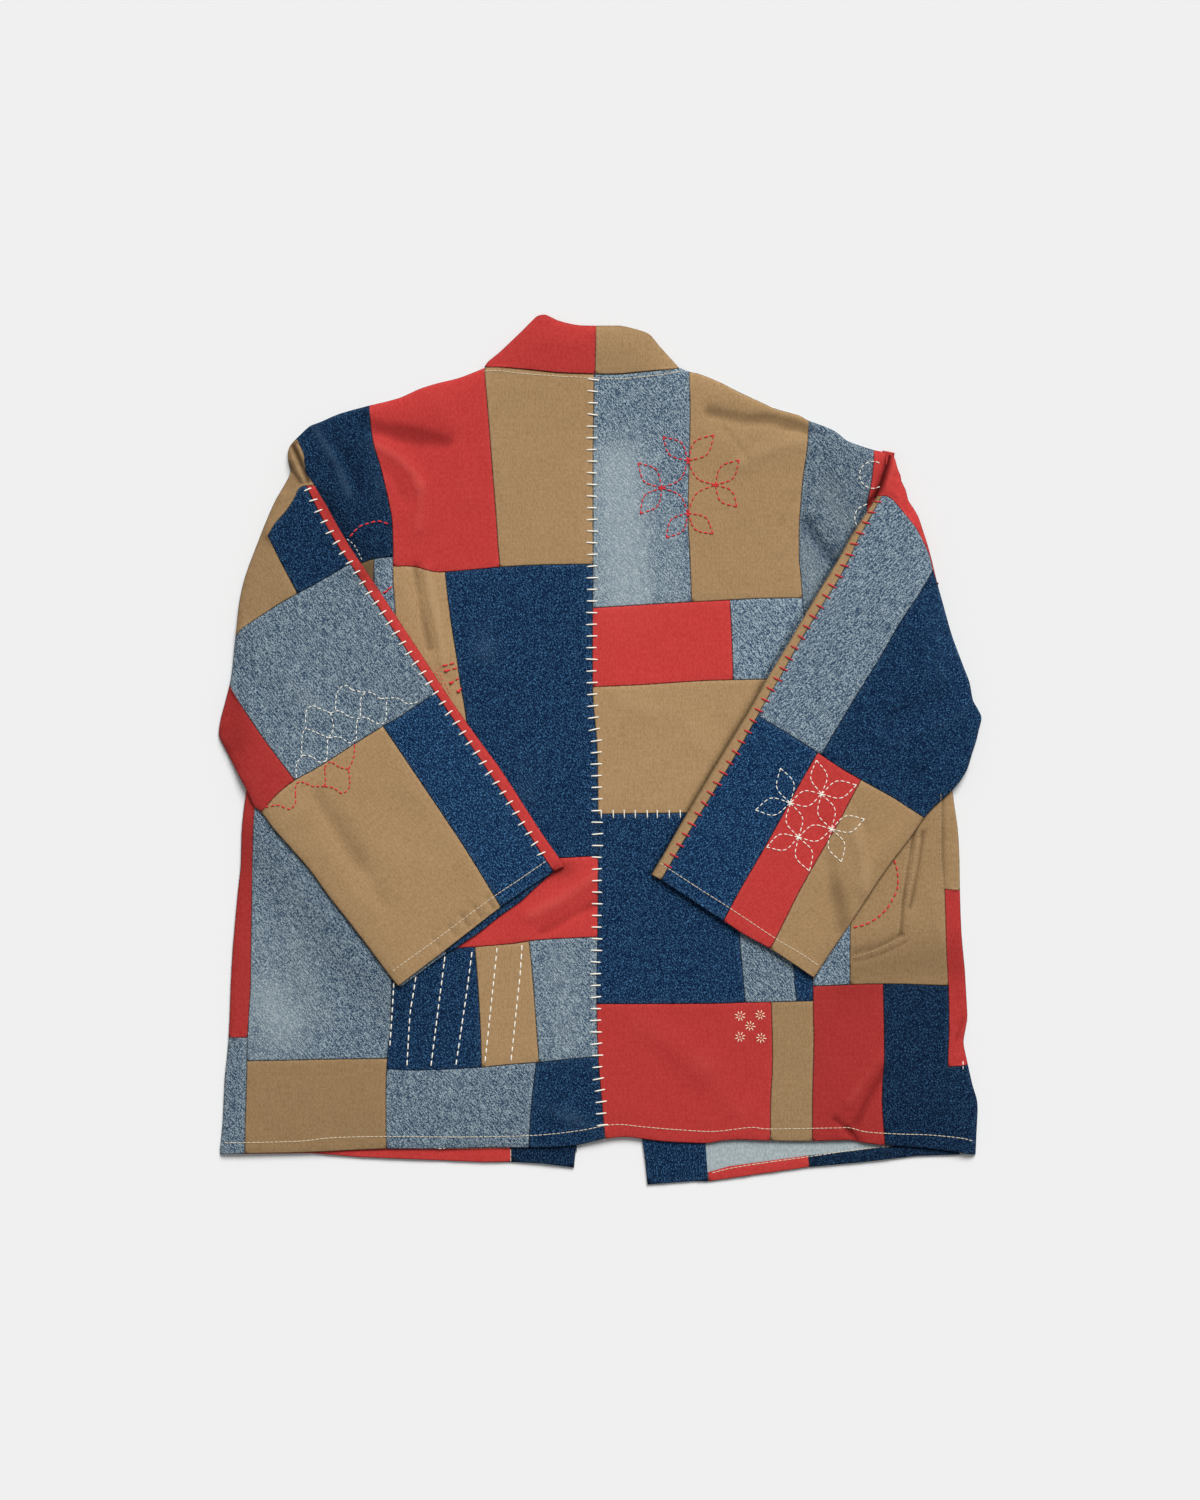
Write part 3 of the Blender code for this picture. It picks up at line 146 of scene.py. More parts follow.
# Folds and creases pressed into the cloth: the line of each, its half width in pixels and its rise in mm.
FOLDS = {
    "back": [
        ([(364, 419), (384, 429), (410, 435), (448, 440)], 10, -1.7),
        ([(378, 446), (398, 458), (414, 474), (420, 486)], 6, 1.7),
        ([(419, 486), (421, 505), (419, 528)], 6, 1.1),
        ([(386, 470), (398, 482), (406, 500)], 8, -0.8),
        ([(440, 400), (455, 440), (470, 500)], 12, 0.6),
        ([(314, 428), (328, 448), (342, 474), (350, 494)], 5, 1.3),
        ([(334, 436), (350, 462), (362, 494)], 6, -1.4),
        ([(366, 436), (374, 462), (380, 492)], 6, 0.7),
        ([(426, 568), (432, 600), (439, 630), (444, 662)], 5, 1.6),
        ([(416, 568), (422, 608), (431, 648)], 5, -1.5),
        ([(406, 574), (411, 612)], 5, 0.6),
        ([(710, 411), (745, 418), (775, 419), (808, 430)], 8, -2.1),
        ([(738, 464), (768, 449), (800, 440)], 8, 1.3),
        ([(722, 428), (736, 443), (749, 461)], 2.4, -0.7),
        ([(803, 508), (790, 530), (779, 552)], 5, 1.0),
        ([(792, 500), (780, 524)], 6, -0.6),
        ([(806, 520), (819, 541), (834, 562)], 5, -2.0),
        ([(822, 514), (836, 536), (846, 552)], 5, 1.0),
        ([(818, 436), (828, 462), (834, 490)], 7, -0.6),
        ([(530, 915), (560, 899), (597, 874)], 7, 1.5),
        ([(542, 932), (572, 915), (597, 902)], 6, -1.5),
        ([(884, 1054), (866, 1078), (848, 1102)], 5, 1.3),
        ([(885, 1070), (870, 1094), (857, 1122)], 6, -1.5),
        ([(834, 1119), (844, 1126), (851, 1133)], 2.6, -1.3),
        ([(847, 1129), (858, 1141)], 2.6, -1.5),
        ([(889, 452), (884, 472), (878, 490), (868, 504)], 3.0, -1.6),
        ([(972, 1018), (966, 1036), (958, 1058)], 3, 0.9),
        ([(964, 1016), (957, 1040)], 4, -0.9),
        ([(914, 831), (908, 870), (903, 905), (901, 934)], 2.2, -1.7),
        ([(918, 840), (912, 872), (907, 903)], 2.2, 0.7),
        ([(923, 832), (918, 870), (910, 908)], 2.2, -1.6),
        ([(901, 935), (877, 947), (852, 954)], 2.2, -1.3),
        ([(906, 942), (881, 954), (853, 962)], 2.0, -1.0),
        ([(943, 790), (943, 850), (945, 892)], 2.2, -1.2),
        ([(932, 896), (938, 926), (946, 948)], 5, 0.7),
        ([(640, 1024), (700, 1066), (740, 1110)], 16, 0.8),
        ([(660, 1060), (700, 1094)], 14, -0.6),
        ([(290, 900), (300, 960), (330, 1020)], 16, 0.8),
        ([(530, 1100), (575, 1120), (600, 1138)], 9, 0.8),
        ([(620, 700), (680, 720), (716, 760)], 14, 0.7),
        ([(480, 620), (500, 720), (530, 800)], 16, 0.7),
        (RIGHT_STRIP_EDGE, 2.6, -0.5),
    ],
    "sleeve": [
        ([(824, 824), (832, 870), (846, 936)], 10, -1.2),
        ([(856, 832), (864, 868), (868, 896)], 6, 1.2),
        ([(858, 812), (866, 830), (868, 842)], 3, -0.8),
        ([(910, 822), (880, 850), (858, 886)], 7, 0.7),
        (LEFT_CROWN_CREASE, 2.0, -2.2),
        ([(289, 451), (297, 467), (305, 482)], 2.0, 1.2),
        (LEFT_CROWN_INNER, 2.0, -1.4),
        ([(272, 500), (262, 530), (256, 556)], 5, -0.7),
        ([(890, 453), (885, 474), (876, 494)], 2.6, -2.2),
        ([(897, 456), (892, 474), (886, 488)], 3.0, 1.2),
        ([(906, 500), (896, 494), (886, 492)], 3.0, 0.7),
        ([(912, 492), (906, 504)], 3.0, -0.7),
        ([(240, 660), (262, 690), (290, 722)], 9, -0.8),
        ([(262, 640), (300, 690), (330, 712)], 12, 0.8),
        ([(956, 690), (920, 700), (890, 716)], 9, -0.9),
        ([(962, 712), (930, 728), (892, 744)], 8, 0.9),
        ([(968, 735), (940, 752), (916, 774)], 6, -0.8),
        ([(318, 796), (352, 846), (392, 906)], 13, -0.9),
        ([(300, 800), (330, 850), (364, 904)], 12, 0.7),
        ([(400, 770), (436, 822), (470, 870)], 10, 0.5),
        ([(449, 925), (456, 935)], 2.6, -1.0),
        ([(462, 915), (469, 926)], 2.6, -1.1),
        ([(474, 906), (481, 917)], 2.6, -1.1),
        ([(487, 897), (494, 908)], 2.6, -1.0),
        ([(433, 937), (440, 947)], 2.6, -0.9),
        ([(700, 893), (712, 905)], 3, -0.6),
    ],
    "front": [
        ([(250, 560), (300, 610), (360, 640)], 16, 1.3),
        ([(240, 650), (300, 700), (350, 770)], 14, 1.0),
        ([(330, 470), (350, 560), (356, 640)], 18, 1.1),
        ([(280, 820), (340, 880), (420, 910)], 20, 1.2),
        ([(300, 960), (380, 1000), (470, 1010)], 22, 0.9),
        ([(420, 700), (440, 800), (436, 900)], 18, 0.8),
        ([(950, 560), (900, 600), (850, 640)], 16, 1.2),
        ([(960, 660), (900, 720), (860, 790)], 14, 1.0),
        ([(866, 470), (850, 550), (842, 640)], 18, 1.0),
        ([(930, 830), (860, 870), (780, 920)], 20, 1.2),
        ([(900, 980), (820, 1010), (740, 1000)], 22, 0.9),
        ([(780, 690), (766, 790), (772, 880)], 18, 0.8),
    ],
}

# Where washing and wear have paled the cloth: the line of each, its half width in pixels and its strength.
FADES = [
    ([(618, 470), (622, 530), (628, 604)], 30, 1.1),
    ([(670, 520), (672, 596)], 14, 0.35),
    ([(268, 1000), (282, 1022)], 30, 0.85),
    ([(262, 940), (266, 1050)], 26, 0.25),
    ([(560, 960), (566, 1040)], 20, 0.25),
    ([(318, 436), (336, 464), (348, 494)], 6, 0.4),
    ([(368, 440), (378, 490)], 8, 0.3),
    ([(808, 556), (816, 592)], 11, 0.5),
    ([(826, 490), (842, 520)], 12, 0.3),
    ([(936, 600), (940, 670)], 16, 0.25),
    ([(330, 800), (440, 860)], 30, 0.2),
]
# Painted shade, darkening the cloth where shade falls beside and under the sleeves, low on the pocket and in
# the sharp creases: line, half width and strength.
PAINTED_SHADES = [
    ([(256, 846), (300, 905), (345, 960), (392, 1004)], 24, 0.19),
    ([(852, 966), (950, 960)], 26, 0.24),
    ([(236, 690), (238, 740)], 12, 0.15),
    ([(362, 575), (372, 560)], 12, 0.3),
    ([(890, 452), (885, 472), (878, 490), (868, 504)], 3.4, 0.8),
    (LEFT_CROWN_CREASE, 2.4, 0.8),
    (LEFT_CROWN_INNER, 2.2, 0.5),
    ([(322, 494), (340, 524), (360, 552)], 9, 0.35),
    (RIGHT_STRIP_EDGE, 2.4, 0.62),
    ([(370, 564), (377, 588)], 4, 0.35),
    ([(556, 870), (566, 868)], 8, 0.3),
]

# A pinch of red cloth that closes the top of the right crown's crease: its line, its half width in pixels
# and the height of its sides in millimetres, each at both ends, and how far it is rounded up.
CROWN_TUCK = [(889.0, 451.4), (887.8, 458), (886.6, 466), (885.2, 476)]
TUCK_HALF_WIDTHS = (6.2, 5.8)
TUCK_HEIGHTS = (2.7, 4.3)
TUCK_CROWN = 1.1 * MM
TUCK_LANES = 7
TUCK_STEP = 2 * MM
# Its seam distance at the middle, the low rise given to its sides only to paint crease shade there, and its
# tone.
TUCK_EDGE_SEAM, TUCK_EDGE_SHADE_RISE, TUCK_TONE = 3, 1.6, 0.85

# Which way the lines of the weave run on each sleeve, and on the denim of the back, in degrees.
LEFT_SLEEVE_GRAIN, RIGHT_SLEEVE_GRAIN, BACK_DENIM_GRAIN = 38.0, -48.0, 40.0


def at(point):
    """A column and row of the reference view as x and y in metres."""
    return np.array([(point[0] - MIDDLE_COLUMN) * PIXEL, (MIDDLE_ROW - point[1]) * PIXEL])


def curve(points, step=CURVE_STEP):
    """A Catmull-Rom curve through columns and rows, as close points in metres."""
    points = np.array([at(point) for point in points])
    if len(points) == 2:
        count = max(2, round(np.linalg.norm(points[1] - points[0]) / step))
        return points[0] + (points[1] - points[0]) * np.linspace(0, 1, count + 1)[:, None]
    padded = np.vstack([2 * points[0] - points[1], points, 2 * points[-1] - points[-2]])
    steps = []
    for before, start, end, after in zip(padded, padded[1:], padded[2:], padded[3:]):
        count = max(2, math.ceil(np.linalg.norm(end - start) / step))
        t = np.arange(count)[:, None] / count
        speed = (end - before) * t
        bend = (2 * before - 5 * start + 4 * end - after) * t**2
        twist = (3 * start - before - 3 * end + after) * t**3
        steps.append(0.5 * (2 * start + speed + bend + twist))
    return np.vstack(steps + [points[-1:]])


def square_to(way):
    """The unit direction to the left of each step."""
    return np.column_stack([-way[:, 1], way[:, 0]]) / np.linalg.norm(way, axis=1)[:, None]


def turned(points, degrees):
    """How far each point lies across and along the cloth when its threads are turned by some degrees."""
    turn = math.radians(degrees)
    across = points[:, 0] * math.cos(turn) + points[:, 1] * math.sin(turn)
    along = points[:, 1] * math.cos(turn) - points[:, 0] * math.sin(turn)
    return across, along


def distance_to(points, line):
    """How far each point is from a line of points."""
    best = np.full(len(points), np.inf)
    for start, step in zip(line[:-1], np.diff(line, axis=0)):
        along = np.clip((points - start) @ step / max(step @ step, 1e-18), 0, 1)
        gap = points - start - along[:, None] * step
        best = np.minimum(best, np.hypot(gap[:, 0], gap[:, 1]))
    return best


def inside(points, loop):
    """Which points lie inside a closed outline."""
    found = np.zeros(len(points), bool)
    x, y = points[:, 0], points[:, 1]
    for (x0, y0), (x1, y1) in zip(loop, np.roll(loop, -1, axis=0)):
        if y0 != y1:
            found ^= ((y0 > y) != (y1 > y)) & (x < (x1 - x0) * (y - y0) / (y1 - y0) + x0)
    return found


# Cloth shells


def upper_side(node):
    """The corners and faces of a solid that show from above, and a tree to read its height from."""
    mesh = node.data
    places, index = {}, []
    for vertex in mesh.vertices:
        key = tuple(round(value, 6) for value in vertex.co)
        index.append(places.setdefault(key, len(places)))
    corners = [Vector(key) for key in places]
    faces = [[index[v] for v in polygon.vertices] for polygon in mesh.polygons]
    faces = [face for face in faces if len(set(face)) == len(face)]
    whole = BVHTree.FromPolygons(corners, faces)
    seen = []
    for face in faces:
        a, b, c = (corners[v] for v in face[:3])
        if (b - a).cross(c - a).normalized().z < SEES_UP:
            continue
        middle = (a + b + c) / 3
        if whole.ray_cast(middle + Vector((0, 0, JUST_ABOVE)), Vector((0, 0, 1)))[0] is None:
            seen.append(face)
    return corners, seen, BVHTree.FromPolygons(corners, seen)


def open_sides(faces):
    """The sides that only one face has, as pairs of points."""
    sides = {(a, b) for face in faces for a, b in zip(face, face[1:] + face[:1])}
    return [(a, b) for a, b in sides if (b, a) not in sides]


def outline_of(corners, faces):
    """The closed outline of the upper side: the widest of the loops along its open sides."""
    after = {}
    for a, b in sorted(open_sides(faces)):
        after.setdefault(a, []).append(b)
    loops = []
    while after:
        first = next(iter(after))
        loop = [first]
        while True:
            step = after[loop[-1]].pop()
            if not after[loop[-1]]:
                del after[loop[-1]]
            if step == first:
                break
            loop.append(step)
        loops.append(np.array([corners[v] for v in loop]))
    return max(loops, key=lambda loop: np.ptp(loop[:, 0]) * np.ptp(loop[:, 1]))


def split_long(loop, step):
    """The outline with points added until none of its sides is longer than a step."""
    points = []
    for a, b in zip(loop, np.roll(loop, -1, axis=0)):
        count = max(1, math.ceil(np.linalg.norm(b[:2] - a[:2]) / step))
        points += [a + (b - a) * k / count for k in range(count)]
    return np.array(points)


def rings_in(loop):
    """Points that follow the outline a little way in, so that the turned edge of the cloth can roll down."""
    inward = square_to(np.roll(loop, -1, axis=0) - np.roll(loop, 1, axis=0))
    closed = np.vstack([loop, loop[:1]])
    rings = []
    for depth in RING_DEPTHS:
        ring = loop + inward * depth
        rings.append(ring[inside(ring, loop) & (distance_to(ring, closed) > RING_ROOM * depth)])
    return np.vstack(rings)


def honeycomb(loop, step):
    """Even points in rows, each row half a step aside of the last, that fill the outline."""
    low, high = loop.min(axis=0), loop.max(axis=0)
    rise = step * math.sqrt(0.75)
    rows = range(math.floor(low[1] / rise), math.ceil(high[1] / rise) + 1)
    columns = np.arange(math.floor(low[0] / step) - 1, math.ceil(high[0] / step) + 2)
    grid = []
    for row in rows:
        places = (columns + 0.5 * (row % 2)) * step
        grid.append(np.column_stack([places, np.full(len(columns), row * rise)]))
    grid = np.vstack(grid)
    grid = grid[inside(grid, loop)]
    return grid[distance_to(grid, np.vstack([loop, loop[:1]])) > RING_DEPTHS[-1] + HONEYCOMB_ROOM * step]


def crease_points(folds, loop):
    """Extra points along the narrow creases, which a honeycomb would miss."""
    extra = [np.zeros((0, 2))]
    for line, width, _ in folds:
        if width < NARROW_CREASE:
            path = curve(line, CREASE_STEP)
            side = square_to(np.gradient(path, axis=0))
            extra += [path + side * lane * width * PIXEL for lane in CREASE_LANES]
    extra = np.vstack(extra)
    extra = extra[inside(extra, loop)]
    return extra[distance_to(extra, np.vstack([loop, loop[:1]])) > RING_DEPTHS[-1]]


def soft_mark(points, line, width):
    """How near each point is to a line, from 1 on it to 0 well beyond its half width."""
    near = distance_to(points, curve(line, MARK_STEP)) / (width * PIXEL)
    return np.exp(-near * near)


def waves(points, size, slice_height):
    """Smooth noise of one wave size, read at each point."""
    return np.array([noise.noise(Vector((x / size, y / size, slice_height))) for x, y in points])


def relief(points, seam, folds):
    """The small rise and fall of worn cloth: folds, slack, and the pull of the thread along each seam."""
    height = np.zeros(len(points))
    for line, width, rise in folds:
        height += rise * MM * soft_mark(points, line, width)
    for size, amount in SLACK:
        height += amount * waves(points, size, SLACK_SLICE)
    pull = waves(points, PUCKER_SIZE, PUCKER_SLICE)
    return height + PUCKER * pull * np.exp(-seam / PUCKER_REACH)


def marked(points, marks):
    """How strongly each point is touched by the nearest of some soft marks."""
    worn = np.zeros(len(points))
    for line, width, amount in marks:
        worn = np.maximum(worn, amount * soft_mark(points, line, width))
    return worn


def smoothed(heights, fixed, triangles):
    """Heights evened out between neighbours, which takes the facets of the solid away."""
    ends = np.vstack([triangles[:, [0, 1]], triangles[:, [1, 2]], triangles[:, [2, 0]]])
    ends = np.unique(np.sort(ends, axis=1), axis=0)
    count = np.bincount(ends.ravel(), minlength=len(heights))
    for _ in range(SMOOTHING_ROUNDS):
        total = np.bincount(ends[:, 0], heights[ends[:, 1]], len(heights))
        total += np.bincount(ends[:, 1], heights[ends[:, 0]], len(heights))
        heights = np.where(fixed, heights, total / count)
    return heights


def panel_surface(node, step, folds, lowest):
    """Points, triangles, seam distances and relief of the fine upper side of one panel."""
    corners, faces, tree = upper_side(node)
    loop = split_long(outline_of(corners, faces), step)
    flat = loop[:, :2]
    inner = np.vstack([rings_in(flat), crease_points(folds, flat), honeycomb(flat, step)])
    everything = [Vector(point) for point in np.vstack([flat, inner])]
    found, _, triangles, sources, *_ = delaunay_2d_cdt(everything, [], [list(range(len(flat)))], 1, 1e-7)
    points = np.array([tuple(point) for point in found])
    triangles = np.array(triangles)
    a, b, c = (points[triangles[:, k]] for k in range(3))
    flipped = (b[:, 0] - a[:, 0]) * (c[:, 1] - a[:, 1]) < (b[:, 1] - a[:, 1]) * (c[:, 0] - a[:, 0])
    triangles[flipped] = triangles[flipped][:, ::-1]
    edge = np.array([bool(source) and min(source) < len(flat) for source in sources])
    heights = np.empty(len(points))
    for i, (x, y) in enumerate(points):
        if edge[i]:
            heights[i] = loop[min(sources[i])][2]
            continue
        hit = tree.ray_cast(Vector((x, y, 1)), Vector((0, 0, -1)))[0]
        heights[i] = (hit or tree.find_nearest(Vector((x, y, 5 * MM)))[0]).z
    heights = smoothed(heights, edge, triangles)
    seam = distance_to(points, np.vstack([flat, flat[:1]]))
    share = (heights.max() - NO_RELIEF_AT) / (FULL_RELIEF_AT - NO_RELIEF_AT)
    lift = relief(points, seam, folds) * np.clip(share, 0, 1)
    heights = heights + lift - SEAM_DIP * np.exp(-((seam / SEAM_DIP_REACH) ** 2))
    heights = np.maximum(heights, lowest)
    return np.column_stack([points, heights]), triangles, seam, lift


def folded_under(points, triangles, seam, lift):
    """A strip that wraps a fold: its upper side is mirrored below, and a rounded edge joins the two."""
    rim = open_sides(triangles.tolist())
    crest = np.median(points[:, 2])
    fold = [(a, b) for a, b in rim if max(points[a, 2], points[b, 2]) < crest - CREST_DROP]
    fold_ends = sorted({v for pair in fold for v in pair})
    fold_points = points[fold_ends]
    nearest = [fold_ends[int(np.argmin(((fold_points[:, :2] - p[:2]) ** 2).sum(axis=1)))] for p in points]
    below = points.copy()
    below[:, 2] = 2 * (points[nearest, 2] - HALF_TURN_RISE) - points[:, 2]
    count = len(points)
    turn = {v: 2 * count + k for k, v in enumerate(fold_ends)}
    bulge = []
    for v in fold_ends:
        a, b = next((a, b) for a, b in fold if v in (a, b))
        way = points[b, :2] - points[a, :2]
        out = np.array([way[1], -way[0]]) / np.linalg.norm(way)
        bulge.append([*(points[v, :2] + out * HALF_TURN_BULGE), points[v, 2] - HALF_TURN_RISE])
    joined = np.vstack([points, below, bulge])
    faces = triangles.tolist() + [[v + count for v in face[::-1]] for face in triangles.tolist()]
    for a, b in fold:
        faces += [[b, a, turn[a], turn[b]], [turn[b], turn[a], a + count, b + count]]
    again = np.concatenate([seam, seam, seam[fold_ends]])
    return joined, faces, again, np.concatenate([lift, lift, lift[fold_ends]])


def cut_size(points):
    """Width and length of the smallest rectangle that the panel could be cut from."""
    best = None
    for degrees in range(90):
        size = sorted(float(np.ptp(side)) for side in turned(points, degrees))
        if best is None or size[0] * size[1] < best[0] * best[1]:
            best = size
    return best


def surface_area(points, triangles):
    """The area of some triangles in square metres."""
    a, b, c = (points[triangles[:, k]] for k in range(3))
    return float(np.linalg.norm(np.cross(b - a, c - a), axis=1).sum() / 2)


def grain_of(name):
    """How far the lines of a panel's weave are turned from the hem-to-collar line, in degrees."""
    if name.startswith("sleeve_left") and "upper" not in name:
        return LEFT_SLEEVE_GRAIN
    if name.startswith("sleeve_right") and "upper" not in name:
        return RIGHT_SLEEVE_GRAIN
    return BACK_DENIM_GRAIN if "dark" in name or "light" in name else 0.0


def layer_of(name):
    """What a panel lies on."""
    side = "left" if "left" in name else "right"
    if name.startswith("front"):
        return []
    if "_under_" in name:
        return ["back_left_tan_side" if side == "left" else "back_right_tan_pocket"]
    if name.startswith("sleeve") and "_upper_" not in name:
        return [f"sleeve_{side}_under_dark"]
    return [f"front_{side}"]


def add_mesh(name, points, faces, materials):
    """A smooth mesh object with its materials."""
    mesh = bpy.data.meshes.new(name)
    mesh.from_pydata([tuple(point) for point in points], [], [tuple(face) for face in faces])
    for material in materials:
        mesh.materials.append(material)
    mesh.shade_smooth()
    piece = bpy.data.objects.new(name, mesh)
    bpy.context.scene.collection.objects.link(piece)
    return piece


def folds_of(name):
    """The folds that cross a panel: those of the layer it is in, and none on the plain hidden ones."""
    if name.startswith("front"):
        return FOLDS["front"]
    if name.startswith("facing") or "_under_" in name:
        return []
    return FOLDS["sleeve" if layer_of(name)[0].startswith("sleeve") else "back"]


def woven_piece(name, points, faces, facts, thickness, materials):
    """A thin cloth shell that carries its thread coordinates and the facts its weave is shaded from."""
    piece = add_mesh(name + "_cloth", points, faces, materials)
    mesh = piece.data
    across, along = turned(points, grain_of(name))
    shift = random.Random(name).uniform(0, LARGEST_THREAD_SHIFT)
    corner = np.empty(len(mesh.loops), int)
    mesh.loops.foreach_get("vertex_index", corner)
    threads = mesh.uv_layers.new(name="threads")
    threads.data.foreach_set("uv", np.column_stack([across + shift, along])[corner].ravel())
    for label, values in facts.items():
        layer = mesh.attributes.new(label, "FLOAT", "POINT")
        layer.data.foreach_set("value", (values * np.ones(len(points))).astype(np.float32))
    thick = piece.modifiers.new("cloth", "SOLIDIFY")
    thick.thickness = thickness
    thick.offset = -1
    if len(materials) > 1:
        thick.material_offset = 1
    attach(piece, "root")
    return piece


def add_cloth(node, tone, materials):
    """Replaces one solid by its cloth: a thin shell with relief and threads along its grain, whose cut size
    is worked out but not used.
    """
    name = node.name
    hidden = name.startswith(("front", "facing")) or "_under_" in name
    thickness = COLLAR_CLOTH if name.startswith("collar") else CLOTH
    step = HIDDEN_STEP if hidden else FINE_STEP
    surface, triangles, seam, lift = panel_surface(node, step, folds_of(name), thickness + FLOOR_CLEARANCE)
    width, length = cut_size(surface)
    area = surface_area(surface, triangles)
    faces = triangles.tolist()
    shown = surface
    if name.endswith("strip") and name.startswith("sleeve"):
        shown, faces, seam, lift = folded_under(surface, triangles, seam, lift)
        width, area = 2 * width, 2 * area
    # Painted shade: the shade marks darken the panel's tone, and the tone attribute carries both.
    shaded = 0 if hidden else marked(shown[:, :2], PAINTED_SHADES)
    facts = {
        "seam": seam / MM,
        "rise": lift / MM,
        "worn": marked(shown[:, :2], FADES),
        "tone": tone * (1 - shaded),
    }
    piece = woven_piece(name, shown, faces, facts, thickness, materials)
    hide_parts(name)
    return piece, surface, triangles


def add_crown_tuck(material):
    """The pinched roll of cloth in the top of the right crown's crease."""
    path = curve(CROWN_TUCK, TUCK_STEP)
    side = square_to(np.gradient(path, axis=0))
    half = np.linspace(*TUCK_HALF_WIDTHS, len(path)) * PIXEL
    base = np.linspace(*TUCK_HEIGHTS, len(path)) * MM
    lanes = np.linspace(-1, 1, TUCK_LANES)
    rows = []
    for lane in lanes:
        height = base + TUCK_CROWN * (1 - lane**2)
        rows.append(np.column_stack([path + side * (half * lane)[:, None], height]))
    points = np.vstack(rows)
    count = len(path)
    corners = [(k * count + i, k * count + i + 1, (k + 1) * count + i + 1, (k + 1) * count + i)
               for k in range(len(lanes) - 1) for i in range(count - 1)]
    edge = np.repeat(np.abs(lanes), count)
    # Painted shade: a short seam distance and a low rise at its sides, not its real height, darken them with
    # the seam's shadow line and the crease shade.
    facts = {
        "seam": TUCK_EDGE_SEAM * (1 - edge),
        "rise": -TUCK_EDGE_SHADE_RISE * edge**2,
        "worn": 0.0,
        "tone": TUCK_TONE,
    }
    piece = woven_piece("sleeve_right_crown_tuck", points, corners, facts, CLOTH, [material])


# Threads


def thread_tube(path, radius, tree, sides=THREAD_SIDES):
    """One stitch: a short tube that comes out of the cloth, lies taut on it and goes back in, thinner at
    both ends."""
    count = len(path)
    t = np.linspace(0, 1, count)
    hits = [tree.ray_cast(Vector((x, y, 1)), Vector((0, 0, -1)))[0] for x, y in path]
    ground = np.array([hit.z if hit else 0 for hit in hits])
    taut = np.maximum(ground, ground[0] + (ground[-1] - ground[0]) * t)
    lift = THREAD_LIFT - THREAD_DIVE * np.abs(2 * t - 1) ** 6
    points = np.column_stack([path, taut + radius * lift])
    way = np.gradient(points, axis=0)
    way /= np.maximum(np.linalg.norm(way, axis=1), 1e-12)[:, None]
    side = np.cross(way, [0, 0, 1])
    side /= np.maximum(np.linalg.norm(side, axis=1), 1e-12)[:, None]
    up = np.cross(side, way)
    size = radius * (THREAD_END + (1 - THREAD_END) * np.sin(np.pi * np.clip(t, 0.06, 0.94)) ** 0.5)
    angles = np.arange(sides) * 2 * math.pi / sides
    rings = [points[i] + size[i] * (math.cos(a) * side[i] + math.sin(a) * up[i])
             for i in range(count) for a in angles]
    faces = []
    for here in range(0, (count - 1) * sides, sides):
        for k in range(sides):
            after = (k + 1) % sides
            faces.append([here + k, here + after, here + sides + after, here + sides + k])
    faces += [list(range(sides))[::-1], list(range((count - 1) * sides, count * sides))]
    return np.array(rings), faces


def add_stitches(name, paths, radius, tree, material):
    """One piece that holds all the stitches of a seam or motif."""
    points, faces, total = [], [], 0
    for path in paths:
        ring, sides = thread_tube(path, radius, tree)
        points.append(ring)
        faces += [[v + total for v in face] for face in sides]
        total += len(ring)
    piece = add_mesh(name, np.vstack(points), faces, [material])
    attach(piece, "root")
    return piece


def straight(a, b, count=STITCH_POINTS):
    """The path of one straight stitch."""
    a, b = at(a), at(b)
    return a + (b - a) * np.linspace(0, 1, count)[:, None]


def lengths_along(path):
    """How far along a path each of its points is."""
    return np.r_[0, np.cumsum(np.linalg.norm(np.diff(path, axis=0), axis=1))]


def place_on(path, along, place):
    """The point, or points, at some length along a path."""
    return np.array([np.interp(place, along, path[:, axis]) for axis in (0, 1)])


def dashes(points, stitch, gap, wander=0.12, seed=0):
    """A line of running stitches along a curve, each a short path, with a hand's small unevenness."""
    dice = random.Random(seed)
    path = curve(points)
    along = lengths_along(path)
    total = along[-1]
    count = max(1, round((total + gap) / (stitch + gap)))
    scale = total / (count * (stitch + gap) - gap)
    found = []
    for k in range(count):
        start = (k * (stitch + gap)) * scale + dice.uniform(-wander, wander) * gap
        end = start + stitch * scale * dice.uniform(1 - wander, 1 + wander)
        places = np.linspace(max(start, 0), min(end, total), STITCH_POINTS)
        found.append(place_on(path, along, places).T)
    return found


def whips(points, pitch, length, seed, leans=(0.0, 0.0), aside=0.0):
    """Stitches over and over a seam: each lies across it, at an even pitch, with a lean that may change."""
    dice = random.Random(seed)
    path = curve(points)
    along = lengths_along(path)
    found = []
    for place in np.arange(pitch / 2, along[-1], pitch):
        middle = place_on(path, along, place)
        step = place_on(path, along, place + MM) - place_on(path, along, place - MM)
        way = step / np.linalg.norm(step)
        lean = np.interp(place / along[-1], (0.0, LEAN_SETTLES_AT), leans)
        turn = math.radians(90 + lean + dice.uniform(-LEAN_WANDER, LEAN_WANDER))
        across = np.array([way[0] * math.cos(turn) - way[1] * math.sin(turn),
                           way[0] * math.sin(turn) + way[1] * math.cos(turn)])
        middle = middle + across * (aside + dice.uniform(-ASIDE_WANDER, ASIDE_WANDER))
        half = length / 2 * dice.uniform(1 - LENGTH_WANDER, 1 + LENGTH_WANDER)
        found.append(middle + across * half * np.linspace(-1, 1, WHIP_POINTS)[:, None])
    return found


def bent(a, b, bulge):
    """Three points of an arc from a to b whose middle stands off by a share of its length."""
    a, b = np.array(a, float), np.array(b, float)
    middle = (a + b) / 2 + bulge * np.array([a[1] - b[1], b[0] - a[0]])
    return [tuple(a), tuple(middle), tuple(b)]


def petal(a, b):
    """The two sides of a petal from a to b."""
    return [bent(a, b, PETAL_BULGE), bent(a, b, -PETAL_BULGE)]


